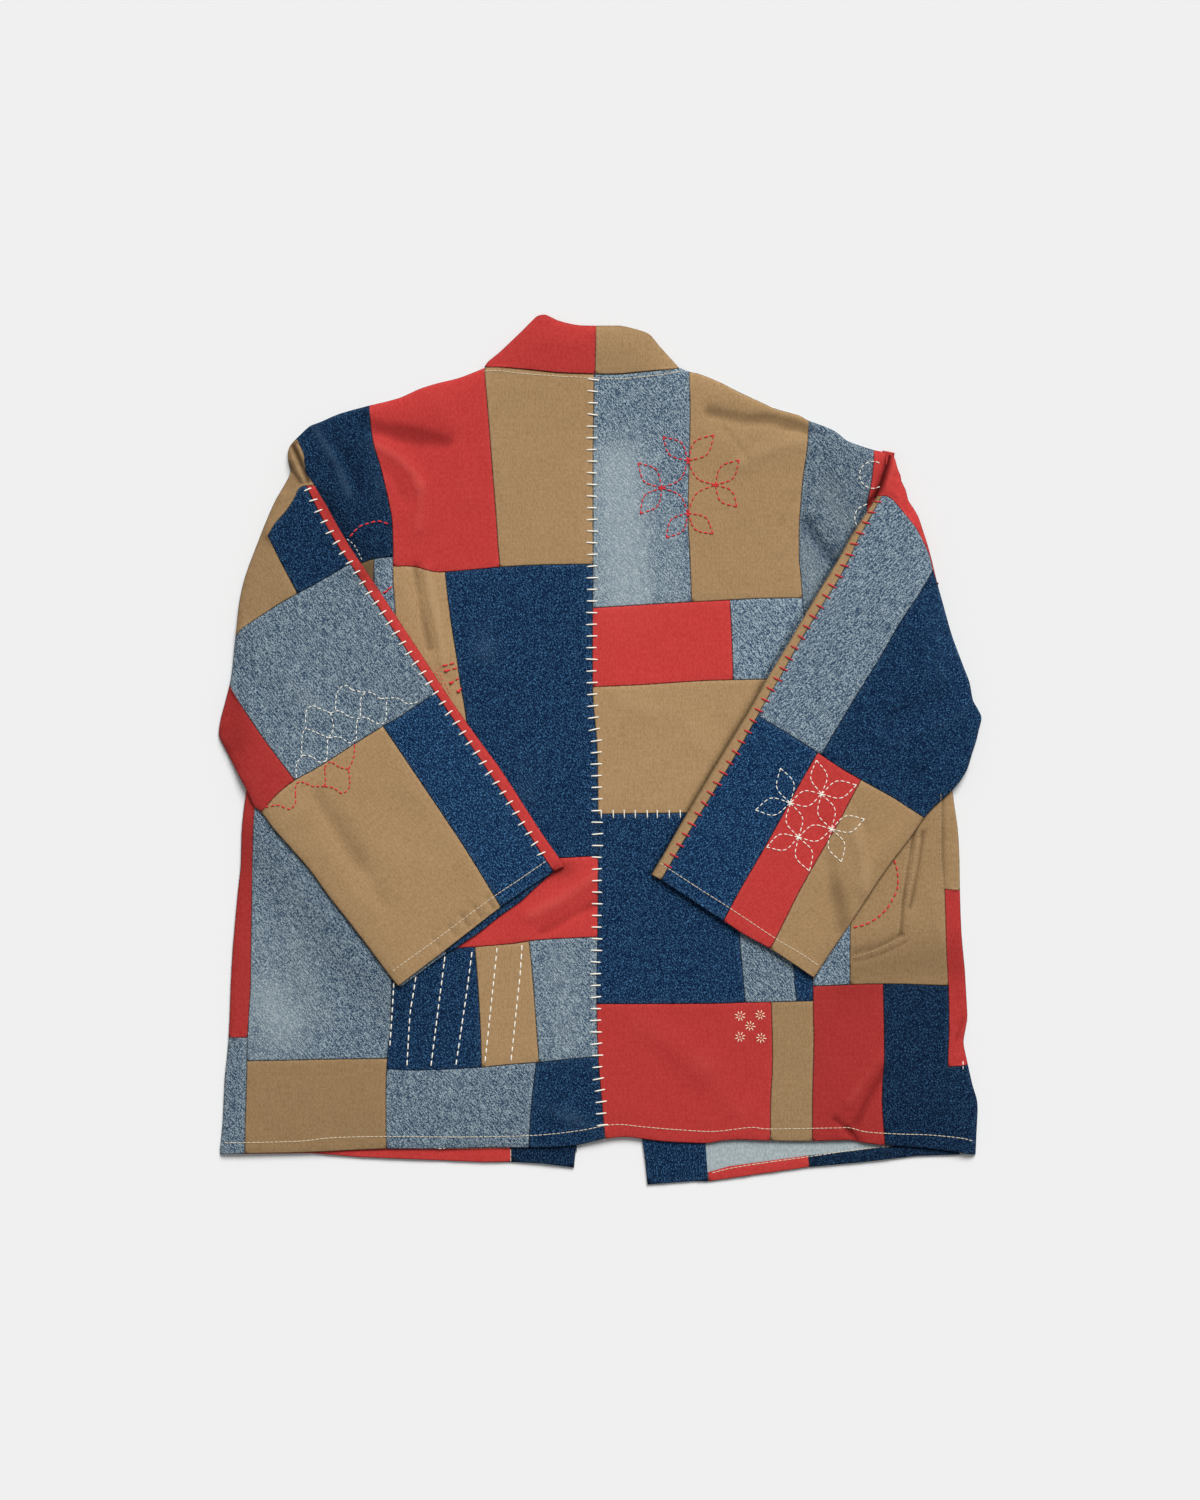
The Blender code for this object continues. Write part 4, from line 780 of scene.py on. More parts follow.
def part_circle(centre, radius, start, end, count=14):
    """Points of a circle from one angle to another, in degrees."""
    turns = np.radians(np.linspace(start, end, count))
    return [(centre[0] + radius * math.cos(t), centre[1] - radius * math.sin(t)) for t in turns]


# Seams that are sewn over and over by hand.
CENTRE_SEAM = [(594, 374), (593, 460), (593, 565), (592.5, 640), (593, 700), (597, 745), (598, 814),
               (598, 880), (597.5, 938), (596.5, 1000), (598, 1056), (601, 1092), (602.5, 1118), (604, 1132)]
LEFT_FOLD_SEAM = [(305, 485), (314, 502), (324, 521), (338, 546), (352, 566), (370, 594), (400, 640),
                  (420, 670), (441, 701), (470, 744), (496, 783), (515, 812), (540, 851), (548, 863)]
RIGHT_FOLD_SEAM = [(881, 497), (869, 519), (857, 541), (848, 561), (838, 580), (824, 602), (800, 641),
                   (780, 677), (765, 702), (740, 747), (717, 786), (690, 830), (664, 875)]
WAIST_COLUMNS = (601, 613, 624, 635, 647, 657, 669, 680)
WAIST_ROWS = (809.6, 818.6)
WAIST_LEAN = 0.4

# Topstitched edges, in the order in which they are sewn.
NECK_LINE = [(484, 371), (500, 371), (520, 373.5), (560, 376.5), (594, 378), (620, 379), (640, 377),
             (660, 375), (681, 371)]
HEM_LINE = [(224, 1143), (296, 1141.5), (330, 1138), (385, 1136.5), (455, 1137), (519, 1136), (551, 1134),
            (583, 1130), (603, 1126), (620, 1124.5), (644, 1127), (680, 1130), (715, 1131.5), (750, 1127.5),
            (771, 1129), (835, 1128), (850, 1128), (867, 1132), (899, 1134), (930, 1135), (960, 1138),
            (973, 1141)]
LEFT_CUFF_LINE = [(393, 971), (402, 964), (430, 944), (462, 920), (493, 897), (520, 879), (546, 861)]
RIGHT_CUFF_LINE = [(660, 863), (680, 876), (700, 889), (733, 910), (775, 938), (800, 953), (818, 965)]
LEFT_TURNUP_LINE = [(420, 1149), (470, 1148.5), (510, 1148)]
LEFT_TURNUP_END = [(510.5, 1149), (510.5, 1162)]
RIGHT_TURNUP_LINE = [(712, 1173.5), (725, 1170), (740, 1167), (770, 1162.5), (806, 1157.5), (830, 1154),
                     (850, 1151.3), (870, 1148.8), (890, 1146.8)]
EDGE_LINES = {"neck": NECK_LINE, "hem": HEM_LINE, "left_cuff": LEFT_CUFF_LINE,
              "right_cuff": RIGHT_CUFF_LINE, "left_turnup": LEFT_TURNUP_LINE,
              "left_turnup_end": LEFT_TURNUP_END, "right_turnup": RIGHT_TURNUP_LINE}

# Motifs: running lines, stars, petal flowers, scallops, part circles and the pocket's welt. The parts of a
# star are in pixels, and a petal's bulge is a share of its length.
RUNNING_LINES = [
    [(394, 982), (392, 1015), (390, 1046)],
    [(416, 976), (413, 996), (410, 1016), (407, 1066)],
    [(445, 956), (442, 980), (439, 1003), (431, 1066)],
    [(472, 952), (469, 975), (466, 997), (456, 1065)],
    [(497, 948), (495, 968), (493, 987), (485, 1062)],
    [(522, 945), (520, 975), (517, 1003), (511, 1061)],
]
STARS = [(740, 1016), (760, 1015), (750, 1026), (740, 1037), (761, 1038)]
STAR_RAYS = 8
STAR_HOLE, STAR_REACHES, STAR_KNOT = 1.8, (5.0, 5.8), 0.6
STAR_POINTS = 5
PETAL_BULGE, RING_BULGE = 0.24, -0.19
RED_FLOWER_KNOTS = {"top": (688, 461), "left": (662, 488), "right": (715, 485), "bottom": (688, 513)}
RED_FLOWER_TIPS = [("top", (663, 437)), ("top", (714, 435)), ("left", (638, 463)), ("left", (640, 514)),
                   ("right", (739, 460)), ("right", (737, 507)), ("bottom", (666, 538)),
                   ("bottom", (713, 534))]
WHITE_FLOWER_KNOTS = [(790, 803), (821, 794), (831, 829), (798, 837)]
WHITE_FLOWER_TIPS = [(0, (780, 768)), (0, (755, 810)), (1, (816, 760)), (1, (856, 785)), (2, (864, 819)),
                     (2, (841, 862)), (3, (809, 871)), (3, (766, 847))]
WHITE_SCALLOPS = [
    [(336, 710), (337, 695), (342, 687), (348, 686), (352, 690)],
    [(352, 690), (362, 692), (372, 693), (381, 699)],
    [(381, 699), (392, 698), (400, 699), (408, 704), (418, 702)],
    [(306, 723), (307, 711), (313, 706), (321, 709), (331, 713)],
    [(331, 713), (340, 711), (348, 716), (354, 718)],
    [(357, 719), (366, 717.5), (379, 724), (386, 720), (387, 702)],
    [(361, 717), (361, 700), (365, 693)],
    [(331, 713), (334, 728), (329, 738)],
    [(307, 727), (303, 735), (302, 754)],
    [(308, 729), (320, 734), (329, 738)],
    [(329, 738), (340, 737), (350, 743), (356, 740)],
    [(357, 740), (357, 725), (358, 720)],
    [(328, 740), (328, 750), (327, 761)],
    [(297, 778), (297, 765), (303, 755)],
    [(303, 755), (313, 757), (320, 762), (327, 761)],
]
RED_SCALLOPS = [
    [(355, 744), (354, 758), (349, 769)],
    [(349, 769), (340, 767), (331, 762), (325, 767)],
    [(325, 767), (326, 779), (325, 786)],
    [(325, 786), (334, 788), (343, 793), (350, 786), (349, 770)],
    [(325, 786), (313, 786), (303, 782), (297, 784), (296, 794)],
    [(296, 794), (296, 803), (290, 809), (279, 805), (266, 807)],
]
SIDE_MOTIF = [[(442, 666), (449, 664.5), (455, 663)], [(446, 671), (451, 669.5), (457, 668)],
              [(451, 683), (455, 680.5), (459, 678)], [(458.5, 691.5), (461.5, 688)]]
SIDE_MOTIF_FINE = [[(434, 674), (437, 671), (441, 667)], [(436, 673.5), (441, 681), (443, 690)],
                   [(440, 674), (445, 684), (450, 694)]]
SIDE_MOTIF_KNOTS = [(446, 671), (451, 683), (458.5, 691.5)]
SIDE_KNOT_HALF = 1.3
ELBOW_BARS = [((382.5, 593), (388, 591)), ((387, 590), (392, 587))]
ARM_ARC = [(350, 537), (358, 528), (364, 525), (376, 521.5), (382, 522), (388, 524)]
ARM_DASHES = [(347, 539), (352, 543), (356, 548), (362, 560)]
SHOULDER_ARC = [(867, 504), (858, 509), (855, 515), (855, 521), (857, 526)]
SHOULDER_CIRCLE = part_circle(centre=(873, 475), radius=13.5, start=60, end=300)
HEM_CORNER_LINE = [(963, 1061), (963, 1070)]
POCKET_ARC = [(894, 860), (897, 870), (898, 880), (897, 890), (892, 900), (888, 907), (878, 917), (866, 924),
              (853, 927.5)]
POCKET_LINE = [(898, 939), (877, 950), (852, 958)]
POCKET_WELT = [[(911, 837), (905, 870), (900, 907), (897, 934)], [(919, 834), (914, 870), (907, 902)],
               [(940.5, 794), (940.5, 850), (942, 892)]]


def long_seams(tree, threads):
    """Hand whip stitches over the centre back and both sleeve folds, and fine topstitching on the edges."""
    white, fine = threads["white"], threads["fine"]
    top, bottom = WAIST_ROWS
    waist = [straight((column, top), (column + WAIST_LEAN, bottom)) for column in WAIST_COLUMNS]
    add_stitches("stitches_waist", waist, WAIST_THREAD, tree, white)
    centre = whips(CENTRE_SEAM, pitch=11.65 * PIXEL, length=11.6 * PIXEL, seed=1, leans=(-3, 2),
                   aside=-1.0 * PIXEL)
    add_stitches("stitches_centre_back", centre, WHIP_THREAD, tree, white)
    left = whips(LEFT_FOLD_SEAM, pitch=12 * PIXEL, length=8.8 * PIXEL, seed=2, leans=(-8, -4))
    add_stitches("stitches_left_fold", left, WHIP_THREAD, tree, white)
    right = whips(RIGHT_FOLD_SEAM, pitch=12 * PIXEL, length=9.4 * PIXEL, seed=3, leans=(24, 2),
                  aside=-1.4 * PIXEL)
    add_stitches("stitches_right_fold", right, ARC_THREAD, tree, threads["crimson"])
    for name, line in EDGE_LINES.items():
        paths = dashes(line, *STITCHES["edges"], seed=len(line))
        add_stitches(f"topstitch_{name}", paths, TOPSTITCH_THREAD, tree, fine)


def running(lines, kind):
    """Running stitches of one kind along some lines."""
    return [path for k, line in enumerate(lines) for path in dashes(line, *STITCHES[kind], seed=k)]


def flowers(tree, threads):
    """Petals in running stitch: a red ring of them on the back, and a white one on the right sleeve."""
    knots = RED_FLOWER_KNOTS
    around = ["top", "left", "bottom", "right", "top"]
    lines = [line for knot, tip in RED_FLOWER_TIPS for line in petal(knots[knot], tip)]
    lines += [bent(knots[a], knots[b], RING_BULGE) for a, b in zip(around, around[1:])]
    add_stitches("stitches_red_flower", running(lines, "petals"), SASHIKO_THREAD, tree, threads["red"])
    knots = WHITE_FLOWER_KNOTS
    lines = [line for knot, tip in WHITE_FLOWER_TIPS for line in petal(knots[knot], tip)]
    lines += [line for a, b in zip(knots, knots[1:] + knots[:1]) for line in petal(a, b)]
    stitches = running(lines, "petals")
    add_stitches("stitches_white_flower", stitches, WHITE_SASHIKO_THREAD, tree, threads["white"])


def stars(tree, threads):
    """Five small asterisks, each of eight short stitches round a tiny knot."""
    dice = random.Random(5)
    rays = []
    for column, row in STARS:
        for turn in np.radians(np.arange(STAR_RAYS) * 360 / STAR_RAYS + dice.uniform(0, 30)):
            way = np.array([math.cos(turn), math.sin(turn)])
            reach = dice.uniform(*STAR_REACHES)
            rays.append(straight((column, row) + way * STAR_HOLE, (column, row) + way * reach, STAR_POINTS))
        rays.append(straight((column - STAR_KNOT, row), (column + STAR_KNOT, row), STAR_POINTS))
    add_stitches("stitches_stars", rays, STAR_THREAD, tree, threads["cream"])


def motifs(tree, threads):
    """Running-stitch lines, scallops and part circles."""
    white, red, tan = threads["white"], threads["red"], threads["tan"]
    lines = running(RUNNING_LINES, "lines")
    add_stitches("stitches_running_lines", lines, SASHIKO_THREAD, tree, white)
    scallops = running(WHITE_SCALLOPS, "white scallops")
    add_stitches("stitches_white_scallops", scallops, WHITE_SASHIKO_THREAD, tree, white)
    scallops = running(RED_SCALLOPS, "red scallops")
    add_stitches("stitches_red_scallops", scallops, SASHIKO_THREAD, tree, red)
    arcs = running([ARM_ARC, POCKET_ARC] + SIDE_MOTIF, "arcs") + [straight(a, b) for a, b in ELBOW_BARS]
    add_stitches("stitches_red_arcs", arcs, ARC_THREAD, tree, red)
    lines = running(SIDE_MOTIF_FINE, "side motif")
    add_stitches("stitches_side_motif_fine", lines, FINE_THREAD, tree, red)
    knots = [straight((x - SIDE_KNOT_HALF, y), (x + SIDE_KNOT_HALF, y)) for x, y in SIDE_MOTIF_KNOTS]
    add_stitches("stitches_side_motif_knots", knots, KNOT_THREAD, tree, red)
    add_stitches("stitches_arm_dashes", running([ARM_DASHES], "arm"), FINE_THREAD, tree, white)
    arcs = running([SHOULDER_CIRCLE, SHOULDER_ARC, HEM_CORNER_LINE], "petals")
    add_stitches("stitches_white_arcs", arcs, WHITE_SASHIKO_THREAD, tree, white)
    pocket = [path for line in [POCKET_LINE] + POCKET_WELT for path in dashes(line, *STITCHES["pocket"])]
    add_stitches("topstitch_pocket", pocket, FINE_THREAD, tree, tan)


# Finishes

# How gradually a fleck gives way to the ground yarn, in noise values.
FLECK_SOFTNESS = 0.09


def new_group(name, inputs, outputs):
    """A shader node group with named sockets, and its two end nodes."""
    group = bpy.data.node_groups.new(name, "ShaderNodeTree")
    for label, kind, value in inputs:
        socket = group.interface.new_socket(label, in_out="INPUT", socket_type=kind)
        if value is not None:
            socket.default_value = value
    for label, kind in outputs:
        group.interface.new_socket(label, in_out="OUTPUT", socket_type=kind)
    return group, group.nodes.new("NodeGroupInput"), group.nodes.new("NodeGroupOutput")


def feed(tree, socket, value):
    """Links a socket to another, or sets its value."""
    if isinstance(value, bpy.types.NodeSocket):
        tree.links.new(value, socket)
    else:
        socket.default_value = value


def calc(tree, operation, first, second=0.0, third=0.0, clamp=False):
    """One step of arithmetic on up to three values."""
    node = tree.nodes.new("ShaderNodeMath")
    node.operation = operation
    node.use_clamp = clamp
    for socket, value in zip(node.inputs, (first, second, third)):
        feed(tree, socket, value)
    return node.outputs[0]


def blend(tree, amount, first, second, kind="MIX"):
    """Two colours mixed by an amount."""
    node = tree.nodes.new("ShaderNodeMix")
    node.data_type = "RGBA"
    node.blend_type = kind
    feed(tree, node.inputs["Factor"], amount)
    for socket, value in zip([s for s in node.inputs if s.type == "RGBA"], (first, second)):
        feed(tree, socket, value)
    return next(s for s in node.outputs if s.type == "RGBA")


def speckle(tree, vector, scale, detail=2.0, rough=0.5):
    """Smooth noise at a scale in grains per metre."""
    node = tree.nodes.new("ShaderNodeTexNoise")
    feed(tree, node.inputs["Vector"], vector)
    feed(tree, node.inputs["Scale"], scale)
    node.inputs["Detail"].default_value = detail
    node.inputs["Roughness"].default_value = rough
    return node.outputs["Fac"]


def stretched(tree, vector, x, y):
    """Coordinates scaled across and along the threads."""
    node = tree.nodes.new("ShaderNodeMapping")
    feed(tree, node.inputs["Vector"], vector)
    node.inputs["Scale"].default_value = (x, y, 1)
    return node.outputs["Vector"]


def span(tree, value, low, high, to_low=0.0, to_high=1.0):
    """A value that runs smoothly from one number to another between two limits."""
    node = tree.nodes.new("ShaderNodeMapRange")
    node.interpolation_type = "SMOOTHSTEP"
    labels = ("Value", "From Min", "From Max", "To Min", "To Max")
    for label, number in zip(labels, (value, low, high, to_low, to_high)):
        feed(tree, node.inputs[label], number)
    return node.outputs[0]


def make_weave_group():
    """Twill: slanting ribs, streaks of uneven yarn both ways, and flecks where the other yarn shows."""
    group, start, end = new_group(
        "Twill Weave",
        [("Threads", "NodeSocketVector", None), ("Ribs per Metre", "NodeSocketFloat", 1100.0),
         ("Rib Slant", "NodeSocketFloat", 0.8), ("Flecks per Metre", "NodeSocketFloat", 600.0),
         ("Cover", "NodeSocketFloat", 0.5), ("Slubs", "NodeSocketFloat", 0.3)],
        [("Height", "NodeSocketFloat"), ("Flecks", "NodeSocketFloat"), ("Streaks", "NodeSocketFloat")])
    threads = start.outputs["Threads"]
    apart = group.nodes.new("ShaderNodeSeparateXYZ")
    feed(group, apart.inputs[0], threads)
    wobble = calc(group, "MULTIPLY", speckle(group, threads, 260.0), 0.0016)
    slant = calc(group, "MULTIPLY_ADD", apart.outputs["Y"], start.outputs["Rib Slant"], apart.outputs["X"])
    slant = calc(group, "ADD", slant, wobble)
    ribs = calc(group, "MULTIPLY", slant, start.outputs["Ribs per Metre"])
    turns = calc(group, "MULTIPLY", ribs, 2 * math.pi)
    ribs = calc(group, "MULTIPLY_ADD", calc(group, "SINE", turns), 0.5, 0.5)
    per_metre = start.outputs["Flecks per Metre"]
    flecks = speckle(group, stretched(group, threads, 1.0, 0.34), per_metre, 1.0, 0.6)
    slubs = speckle(group, stretched(group, threads, 1.0, 0.13), 800.0, 1.0, 0.6)
    flecks = calc(group, "MULTIPLY_ADD", calc(group, "SUBTRACT", slubs, 0.5), start.outputs["Slubs"], flecks)
    centre = calc(group, "MULTIPLY_ADD", start.outputs["Cover"], -0.36, 0.68)
    low = calc(group, "SUBTRACT", centre, FLECK_SOFTNESS)
    high = calc(group, "ADD", centre, FLECK_SOFTNESS)
    flecks = span(group, flecks, low, high)
    warp = speckle(group, stretched(group, threads, 1.0, 0.06), 620.0, 3.0, 0.6)
    weft = speckle(group, stretched(group, threads, 0.06, 1.0), 620.0, 3.0, 0.6)
    streaks = calc(group, "MULTIPLY_ADD", weft, 0.45, calc(group, "MULTIPLY", warp, 0.55))
    raised = calc(group, "MULTIPLY", flecks, 0.6)
    feed(group, end.inputs["Height"], calc(group, "MULTIPLY_ADD", ribs, 0.5, raised))
    feed(group, end.inputs["Flecks"], flecks)
    feed(group, end.inputs["Streaks"], span(group, streaks, 0.3, 0.7))
    return group


def make_fade_group():
    """Wash fading from 0 to 1: worn places, broad clouds, small mottling and the tops of the folds."""
    group, start, end = new_group(
        "Wash Fading",
        [("Threads", "NodeSocketVector", None), ("Rise", "NodeSocketFloat", 0.0),
         ("Worn", "NodeSocketFloat", 0.0), ("Unevenness", "NodeSocketFloat", 0.3)],
        [("Fade", "NodeSocketFloat")])
    threads = start.outputs["Threads"]
    clouds = span(group, speckle(group, threads, 15.0, 3.0, 0.55), 0.34, 0.68)
    mottle = span(group, speckle(group, stretched(group, threads, 1.0, 0.3), 150.0, 3.0, 0.6), 0.36, 0.66)
    ridges = span(group, start.outputs["Rise"], -0.9, 1.1)
    total = calc(group, "MULTIPLY_ADD", mottle, 0.45, calc(group, "MULTIPLY", clouds, 0.35))
    total = calc(group, "MULTIPLY_ADD", ridges, 0.3, total)
    uneven = calc(group, "MULTIPLY", total, start.outputs["Unevenness"])
    feed(group, end.inputs["Fade"], calc(group, "ADD", start.outputs["Worn"], uneven, clamp=True))
    return group


def make_seam_group():
    """Wear and painted shadow along a seam: a rubbed ridge over the turned edge, broken up, and a painted
    shadow line in the seam.
    """
    group, start, end = new_group(
        "Seam Wear",
        [("Threads", "NodeSocketVector", None), ("Seam Distance", "NodeSocketFloat", 10.0),
         ("Reach", "NodeSocketFloat", 6.0)],
        [("Rubbed", "NodeSocketFloat"), ("Shadow Line", "NodeSocketFloat")])
    distance = start.outputs["Seam Distance"]
    near = span(group, calc(group, "DIVIDE", distance, start.outputs["Reach"]), 0.15, 1.0, 1.0, 0.0)
    broken = span(group, speckle(group, start.outputs["Threads"], 190.0, 3.0, 0.6), 0.38, 0.64)
    stitched = span(group, speckle(group, start.outputs["Threads"], 520.0, 1.0, 0.5), 0.35, 0.6)
    line = span(group, distance, 0.05, 0.9, 1.0, 0.0)
    feed(group, end.inputs["Rubbed"], calc(group, "MULTIPLY", near, broken))
    feed(group, end.inputs["Shadow Line"], calc(group, "MULTIPLY", line, stitched))
    return group


def sheet_data(tree):
    """The thread coordinates of a panel and what its mesh says of seam distance, rise, wear, and tone with
    painted shade.
    """
    threads = tree.nodes.new("ShaderNodeUVMap")
    threads.uv_map = "threads"
    values = {}
    for label in ("seam", "rise", "worn", "tone"):
        node = tree.nodes.new("ShaderNodeAttribute")
        node.attribute_name = label
        values[label] = node.outputs["Fac"]
    return threads.outputs[0], values


def place_group(tree, group, **inputs):
    """The outputs of a node group that is placed in a material with its own values."""
    node = tree.nodes.new("ShaderNodeGroup")
    node.node_tree = group
    for label, value in inputs.items():
        feed(tree, node.inputs[label.replace("_", " ")], value)
    return node.outputs


def make_cloth(name, look, groups):
    """A woven cotton: yarn colours mixed by the weave, then faded, rubbed at its seams, multiplied by its
    tone and painted shade, and darkened with painted shade in its seams and creases.
    """
    material = bpy.data.materials.new(name)
    material.use_nodes = True
    tree = material.node_tree
    shader = tree.nodes["Principled BSDF"]
    threads, values = sheet_data(tree)
    ground_yarn, fleck_yarn, pale_yarn, shade_colour = (from_screen(*colour) for colour in look["colours"])
    weave = place_group(tree, groups["weave"], Threads=threads, Ribs_per_Metre=look["ribs"],
                        Rib_Slant=look["slant"], Flecks_per_Metre=look["fleck_rate"], Cover=look["cover"],
                        Slubs=look["slubs"])
    fade = place_group(tree, groups["fade"], Threads=threads, Rise=values["rise"], Worn=values["worn"],
                       Unevenness=look["unevenness"])["Fade"]
    seam = place_group(tree, groups["seam"], Threads=threads, Seam_Distance=values["seam"],
                       Reach=look["reach"])
    paled = calc(tree, "MULTIPLY", fade, look["fading"])
    streaked = calc(tree, "MULTIPLY_ADD", weave["Streaks"], look["streaks"],
                    calc(tree, "MULTIPLY", paled, 0.9))
    ground = blend(tree, streaked, ground_yarn, fleck_yarn)
    fleck = blend(tree, paled, fleck_yarn, pale_yarn)
    faded = blend(tree, calc(tree, "MULTIPLY", weave["Flecks"], look["flecks"]), ground, fleck)
    ridge = calc(tree, "MULTIPLY", span(tree, values["rise"], 0.3, 2.0), 0.3)
    rubbed = calc(tree, "MAXIMUM", calc(tree, "MULTIPLY", seam["Rubbed"], look["rubbing"]), ridge)
    worn = blend(tree, rubbed, faded, pale_yarn)
    # Multiplies by the panel's tone together with its painted shade.
    toned_and_shaded = blend(tree, 1.0, worn, values["tone"], "MULTIPLY")
    # Painted shade in the troughs of the folds and along the seam's shadow line, mixed towards the shade
    # colour.
    crease_shade = calc(tree, "MULTIPLY", span(tree, values["rise"], -0.3, -1.9), 0.5)
    shade = calc(tree, "MAXIMUM", calc(tree, "MULTIPLY", seam["Shadow Line"], 0.6), crease_shade)
    shaded = blend(tree, shade, toned_and_shaded, shade_colour)
    feed(tree, shader.inputs["Base Color"], shaded)
    rough = calc(tree, "MULTIPLY_ADD", weave["Flecks"], 0.1, look["roughness"])
    feed(tree, shader.inputs["Roughness"], rough)
    shader.inputs["Specular IOR Level"].default_value = 0.08
    bump = tree.nodes.new("ShaderNodeBump")
    bump.inputs["Strength"].default_value = look["bump"]
    bump.inputs["Distance"].default_value = 0.3 * MM
    feed(tree, bump.inputs["Height"], calc(tree, "MULTIPLY_ADD", weave["Streaks"], 0.3, weave["Height"]))
    feed(tree, shader.inputs["Normal"], bump.outputs[0])
    return material


def linear(value):
    """One channel of a screen colour, from 0 to 255, as linear light."""
    return ((value / 255 + 0.055) / 1.055) ** 2.4 if value > 10 else value / 255 / 12.92


def from_screen(red, green, blue):
    """A screen colour from 0 to 255 as a linear one."""
    return (linear(red), linear(green), linear(blue), 1)


# The finish of each cloth. Its four screen colours are the ground yarn, the fleck yarn, the faded yarn and
# the painted shade of its creases and seam lines.
LOOKS = {
    "dark_denim": dict(
        colours=[(0, 22, 55), (66, 112, 152), (92, 120, 148), (4, 16, 36)], flecks=1.0, cover=0.24,
        slubs=0.32, streaks=0.05, fading=0.2, unevenness=0.12, rubbing=0.12, reach=5.0, ribs=820.0,
        slant=0.1, fleck_rate=1450.0, roughness=0.88, bump=0.7),
    "light_denim": dict(
        colours=[(28, 58, 88), (157, 175, 184), (186, 194, 194), (28, 44, 64)], flecks=1.0, cover=0.42,
        slubs=0.52, streaks=0.08, fading=0.66, unevenness=0.13, rubbing=0.15, reach=5.0, ribs=820.0,
        slant=0.1, fleck_rate=1450.0, roughness=0.9, bump=0.7),
    "tan_twill": dict(
        colours=[(152, 120, 82), (178, 147, 109), (192, 162, 124), (72, 52, 32)], flecks=0.5, cover=0.5,
        slubs=0.3, streaks=0.45, fading=0.3, unevenness=0.4, rubbing=0.15, reach=4.0, ribs=1250.0,
        slant=0.8, fleck_rate=820.0, roughness=0.86, bump=0.4),
    "red_twill": dict(
        colours=[(180, 50, 48), (206, 74, 70), (214, 94, 86), (88, 12, 14)], flecks=0.4, cover=0.45,
        slubs=0.3, streaks=0.35, fading=0.22, unevenness=0.4, rubbing=0.12, reach=4.0, ribs=1250.0,
        slant=0.8, fleck_rate=820.0, roughness=0.86, bump=0.4),
    "pale_wrong_side": dict(
        colours=[(148, 162, 166), (178, 188, 190), (190, 198, 200), (96, 112, 126)], flecks=0.8, cover=0.5,
        slubs=0.4, streaks=0.3, fading=0.3, unevenness=0.3, rubbing=0.1, reach=4.0, ribs=820.0,
        slant=0.1, fleck_rate=800.0, roughness=0.9, bump=0.6),
}

# How light each panel is beside the rest of its cloth, where it differs: partly its own tone and partly
# painted shade, darker towards the bottom and in the shade beside the sleeves.
TONES_AND_SHADE = {
    "back_left_dark_hem": 0.85, "back_right_dark_hem": 0.64, "back_left_dark_sashiko": 0.9,
    "sleeve_left_upper_dark": 0.7, "sleeve_left_dark": 0.84, "sleeve_right_dark": 0.92,
    "sleeve_right_dark_cuff": 1.2, "sleeve_left_dark_cuff": 1.2, "facing_left": 0.56,
    "facing_right": 0.84, "turnup_right_dark": 0.5, "back_right_light_middle": 1.1,
    "back_left_light_hem": 0.88, "back_left_light_side": 0.9, "back_left_light_strip": 0.85,
    "back_left_light_low": 0.94, "back_right_light_small": 1.12, "back_right_light_strip": 0.93,
    "sleeve_left_light": 0.9, "sleeve_left_upper_light": 1.02, "sleeve_right_light": 1.03,
    "sleeve_right_upper_light": 0.79, "sleeve_left_upper_tan": 0.55, "sleeve_left_tan_crown": 0.86,
    "back_left_tan_side": 1.08, "collar_right_tan": 0.92, "back_left_tan_hem": 0.8,
    "back_right_tan_hem": 0.88, "back_right_tan_pocket": 0.92, "back_right_tan_middle": 1.06,
    "sleeve_right_tan_cuff": 0.97, "collar_left_red": 0.9, "back_right_red_middle": 1.08,
    "back_right_red_hem": 0.9, "back_left_red_low": 1.06, "back_left_red_strip": 0.76,
    "back_right_red_strip": 0.86, "back_right_red_corner": 0.75, "sleeve_left_red_elbow": 0.76,
}

# Screen colours of the threads.
THREADS = {"white": (255, 250, 236), "cream": (255, 238, 204), "red": (224, 34, 42),
           "crimson": (202, 28, 42), "tan": (190, 164, 124), "fine": (230, 214, 186)}


def make_thread(name, colour):
    """Spun cotton thread: slightly uneven in colour, with a fine twist."""
    material = bpy.data.materials.new(f"{name}_thread")
    material.use_nodes = True
    tree = material.node_tree
    shader = tree.nodes["Principled BSDF"]
    place = tree.nodes.new("ShaderNodeTexCoord").outputs["Object"]
    uneven = speckle(tree, place, 900.0, 2.0)
    base = from_screen(*colour)
    darker = tuple(value * 0.85 for value in base[:3]) + (1,)
    feed(tree, shader.inputs["Base Color"], blend(tree, span(tree, uneven, 0.3, 0.6), darker, base))
    shader.inputs["Roughness"].default_value = 0.7
    shader.inputs["Sheen Weight"].default_value = 0.15
    bump = tree.nodes.new("ShaderNodeBump")
    bump.inputs["Strength"].default_value = 0.6
    bump.inputs["Distance"].default_value = 0.15 * MM
    feed(tree, bump.inputs["Height"], uneven)
    feed(tree, shader.inputs["Normal"], bump.outputs[0])
    return material


# Stage

# The table, the key light with its spread in degrees, the fill light, and the camera with its sensor in mm.
FLOOR_REACH = 6.0
FLOOR_COLOUR = (239, 239, 239)
FLOOR_DROP = 0.02 * MM
KEY_PLACE = (0.7, 2.3, 2.3)
KEY_SPREAD = 34
KEY_STRENGTH = 3.36
FILL_STRENGTH = 0.27
CAMERA_HEIGHT = 3.2
CLOTH_LEVEL = 6 * MM
SENSOR = 36


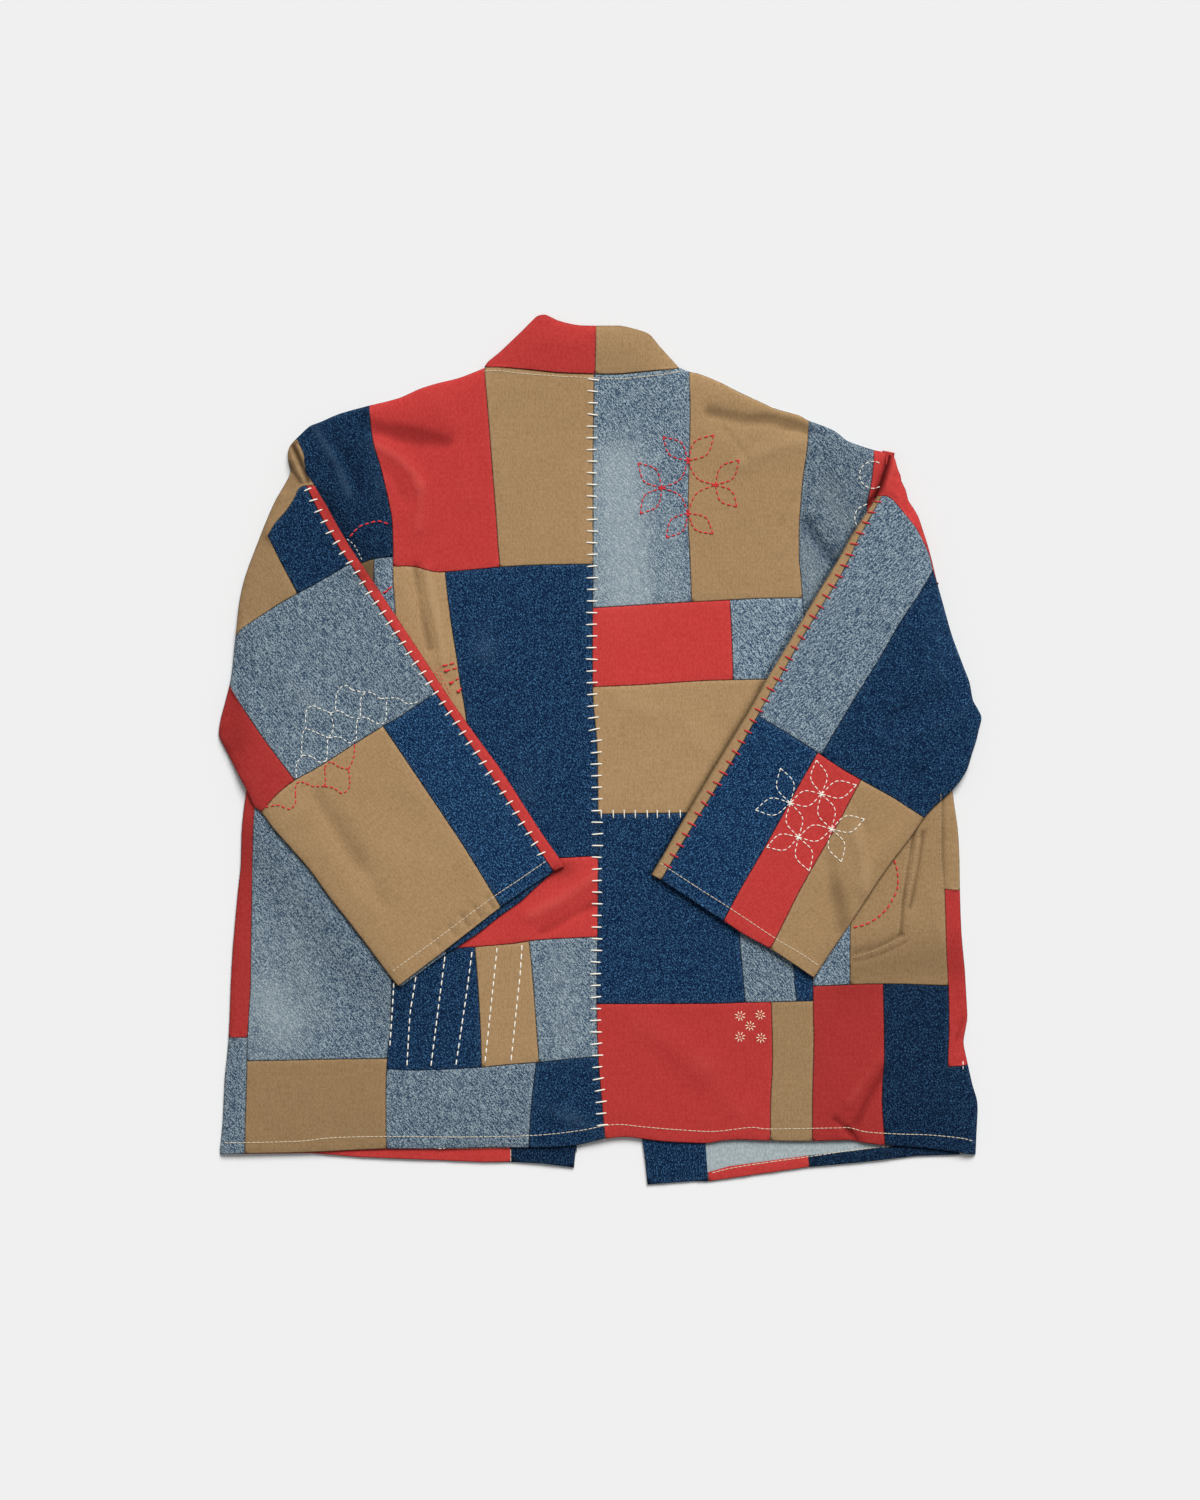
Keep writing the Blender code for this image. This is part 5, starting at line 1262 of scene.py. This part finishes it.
def add_floor():
    """The plain pale table, a hair below the cloth."""
    sides = ((-1, -1), (1, -1), (1, 1), (-1, 1))
    corners = [(x * FLOOR_REACH, y * FLOOR_REACH, -FLOOR_DROP) for x, y in sides]
    material = bpy.data.materials.new("pale_table")
    material.use_nodes = True
    shader = material.node_tree.nodes["Principled BSDF"]
    shader.inputs["Base Color"].default_value = from_screen(*FLOOR_COLOUR)
    shader.inputs["Roughness"].default_value = 0.9
    shader.inputs["Specular IOR Level"].default_value = 0.2
    floor = add_mesh("floor", corners, [(0, 1, 2, 3)], [material])


def add_key_light():
    """A wide, soft, even light from beyond the collar, a little to the right."""
    light = bpy.data.lights.new("key", "SUN")
    light.angle = math.radians(KEY_SPREAD)
    light.energy = KEY_STRENGTH
    lamp = bpy.data.objects.new("key", light)
    lamp.location = KEY_PLACE
    lamp.rotation_euler = (-lamp.location).to_track_quat("-Z", "Y").to_euler()
    bpy.context.scene.collection.objects.link(lamp)


def add_camera():
    """A camera straight above, whose view takes in the whole reference frame at the level of the cloth."""
    camera = bpy.data.cameras.new("camera")
    camera.sensor_width = SENSOR
    camera.sensor_fit = "AUTO"
    camera.lens = SENSOR * (CAMERA_HEIGHT - CLOTH_LEVEL) / (VIEW_HEIGHT * PIXEL)
    eye = bpy.data.objects.new("camera", camera)
    x, y = at((VIEW_WIDTH / 2, VIEW_HEIGHT / 2))
    eye.location = (x, y, CAMERA_HEIGHT)
    bpy.context.scene.collection.objects.link(eye)
    bpy.context.scene.camera = eye


def add_world():
    """Even white fill light from all around, shown with its colours as they are."""
    world = bpy.data.worlds.new("studio")
    world.use_nodes = True
    backdrop = world.node_tree.nodes["Background"]
    backdrop.inputs["Color"].default_value = (1, 1, 1, 1)
    backdrop.inputs["Strength"].default_value = FILL_STRENGTH
    bpy.context.scene.world = world
    bpy.context.scene.view_settings.view_transform = "Standard"


def dress_jacket():
    """Every panel's cloth in its own finish, the tuck, and then all the sewing on top of them."""
    groups = {"weave": make_weave_group(), "fade": make_fade_group(), "seam": make_seam_group()}
    cloths = {name: make_cloth(name, look, groups) for name, look in LOOKS.items()}
    slots = {row["node"]: row["material_slot"] for row in frame["record"]["subparts"]}
    points, faces, total = [], [], 0
    for name, node in sorted(frame["nodes"].items()):
        materials = [cloths[slots[name]]]
        if name.startswith("front"):
            materials = [cloths["pale_wrong_side"], cloths[slots[name]]]
        piece, surface, triangles = add_cloth(node, TONES_AND_SHADE.get(name, 1.0), materials)
        points.append(surface)
        faces.append(triangles + total)
        total += len(surface)
    add_crown_tuck(cloths["red_twill"])
    tree = BVHTree.FromPolygons(np.vstack(points).tolist(), np.vstack(faces).tolist())
    threads = {name: make_thread(name, colour) for name, colour in THREADS.items()}
    for sew in (long_seams, flowers, stars, motifs):
        sew(tree, threads)


dress_jacket()
add_floor()
add_key_light()
add_world()
add_camera()
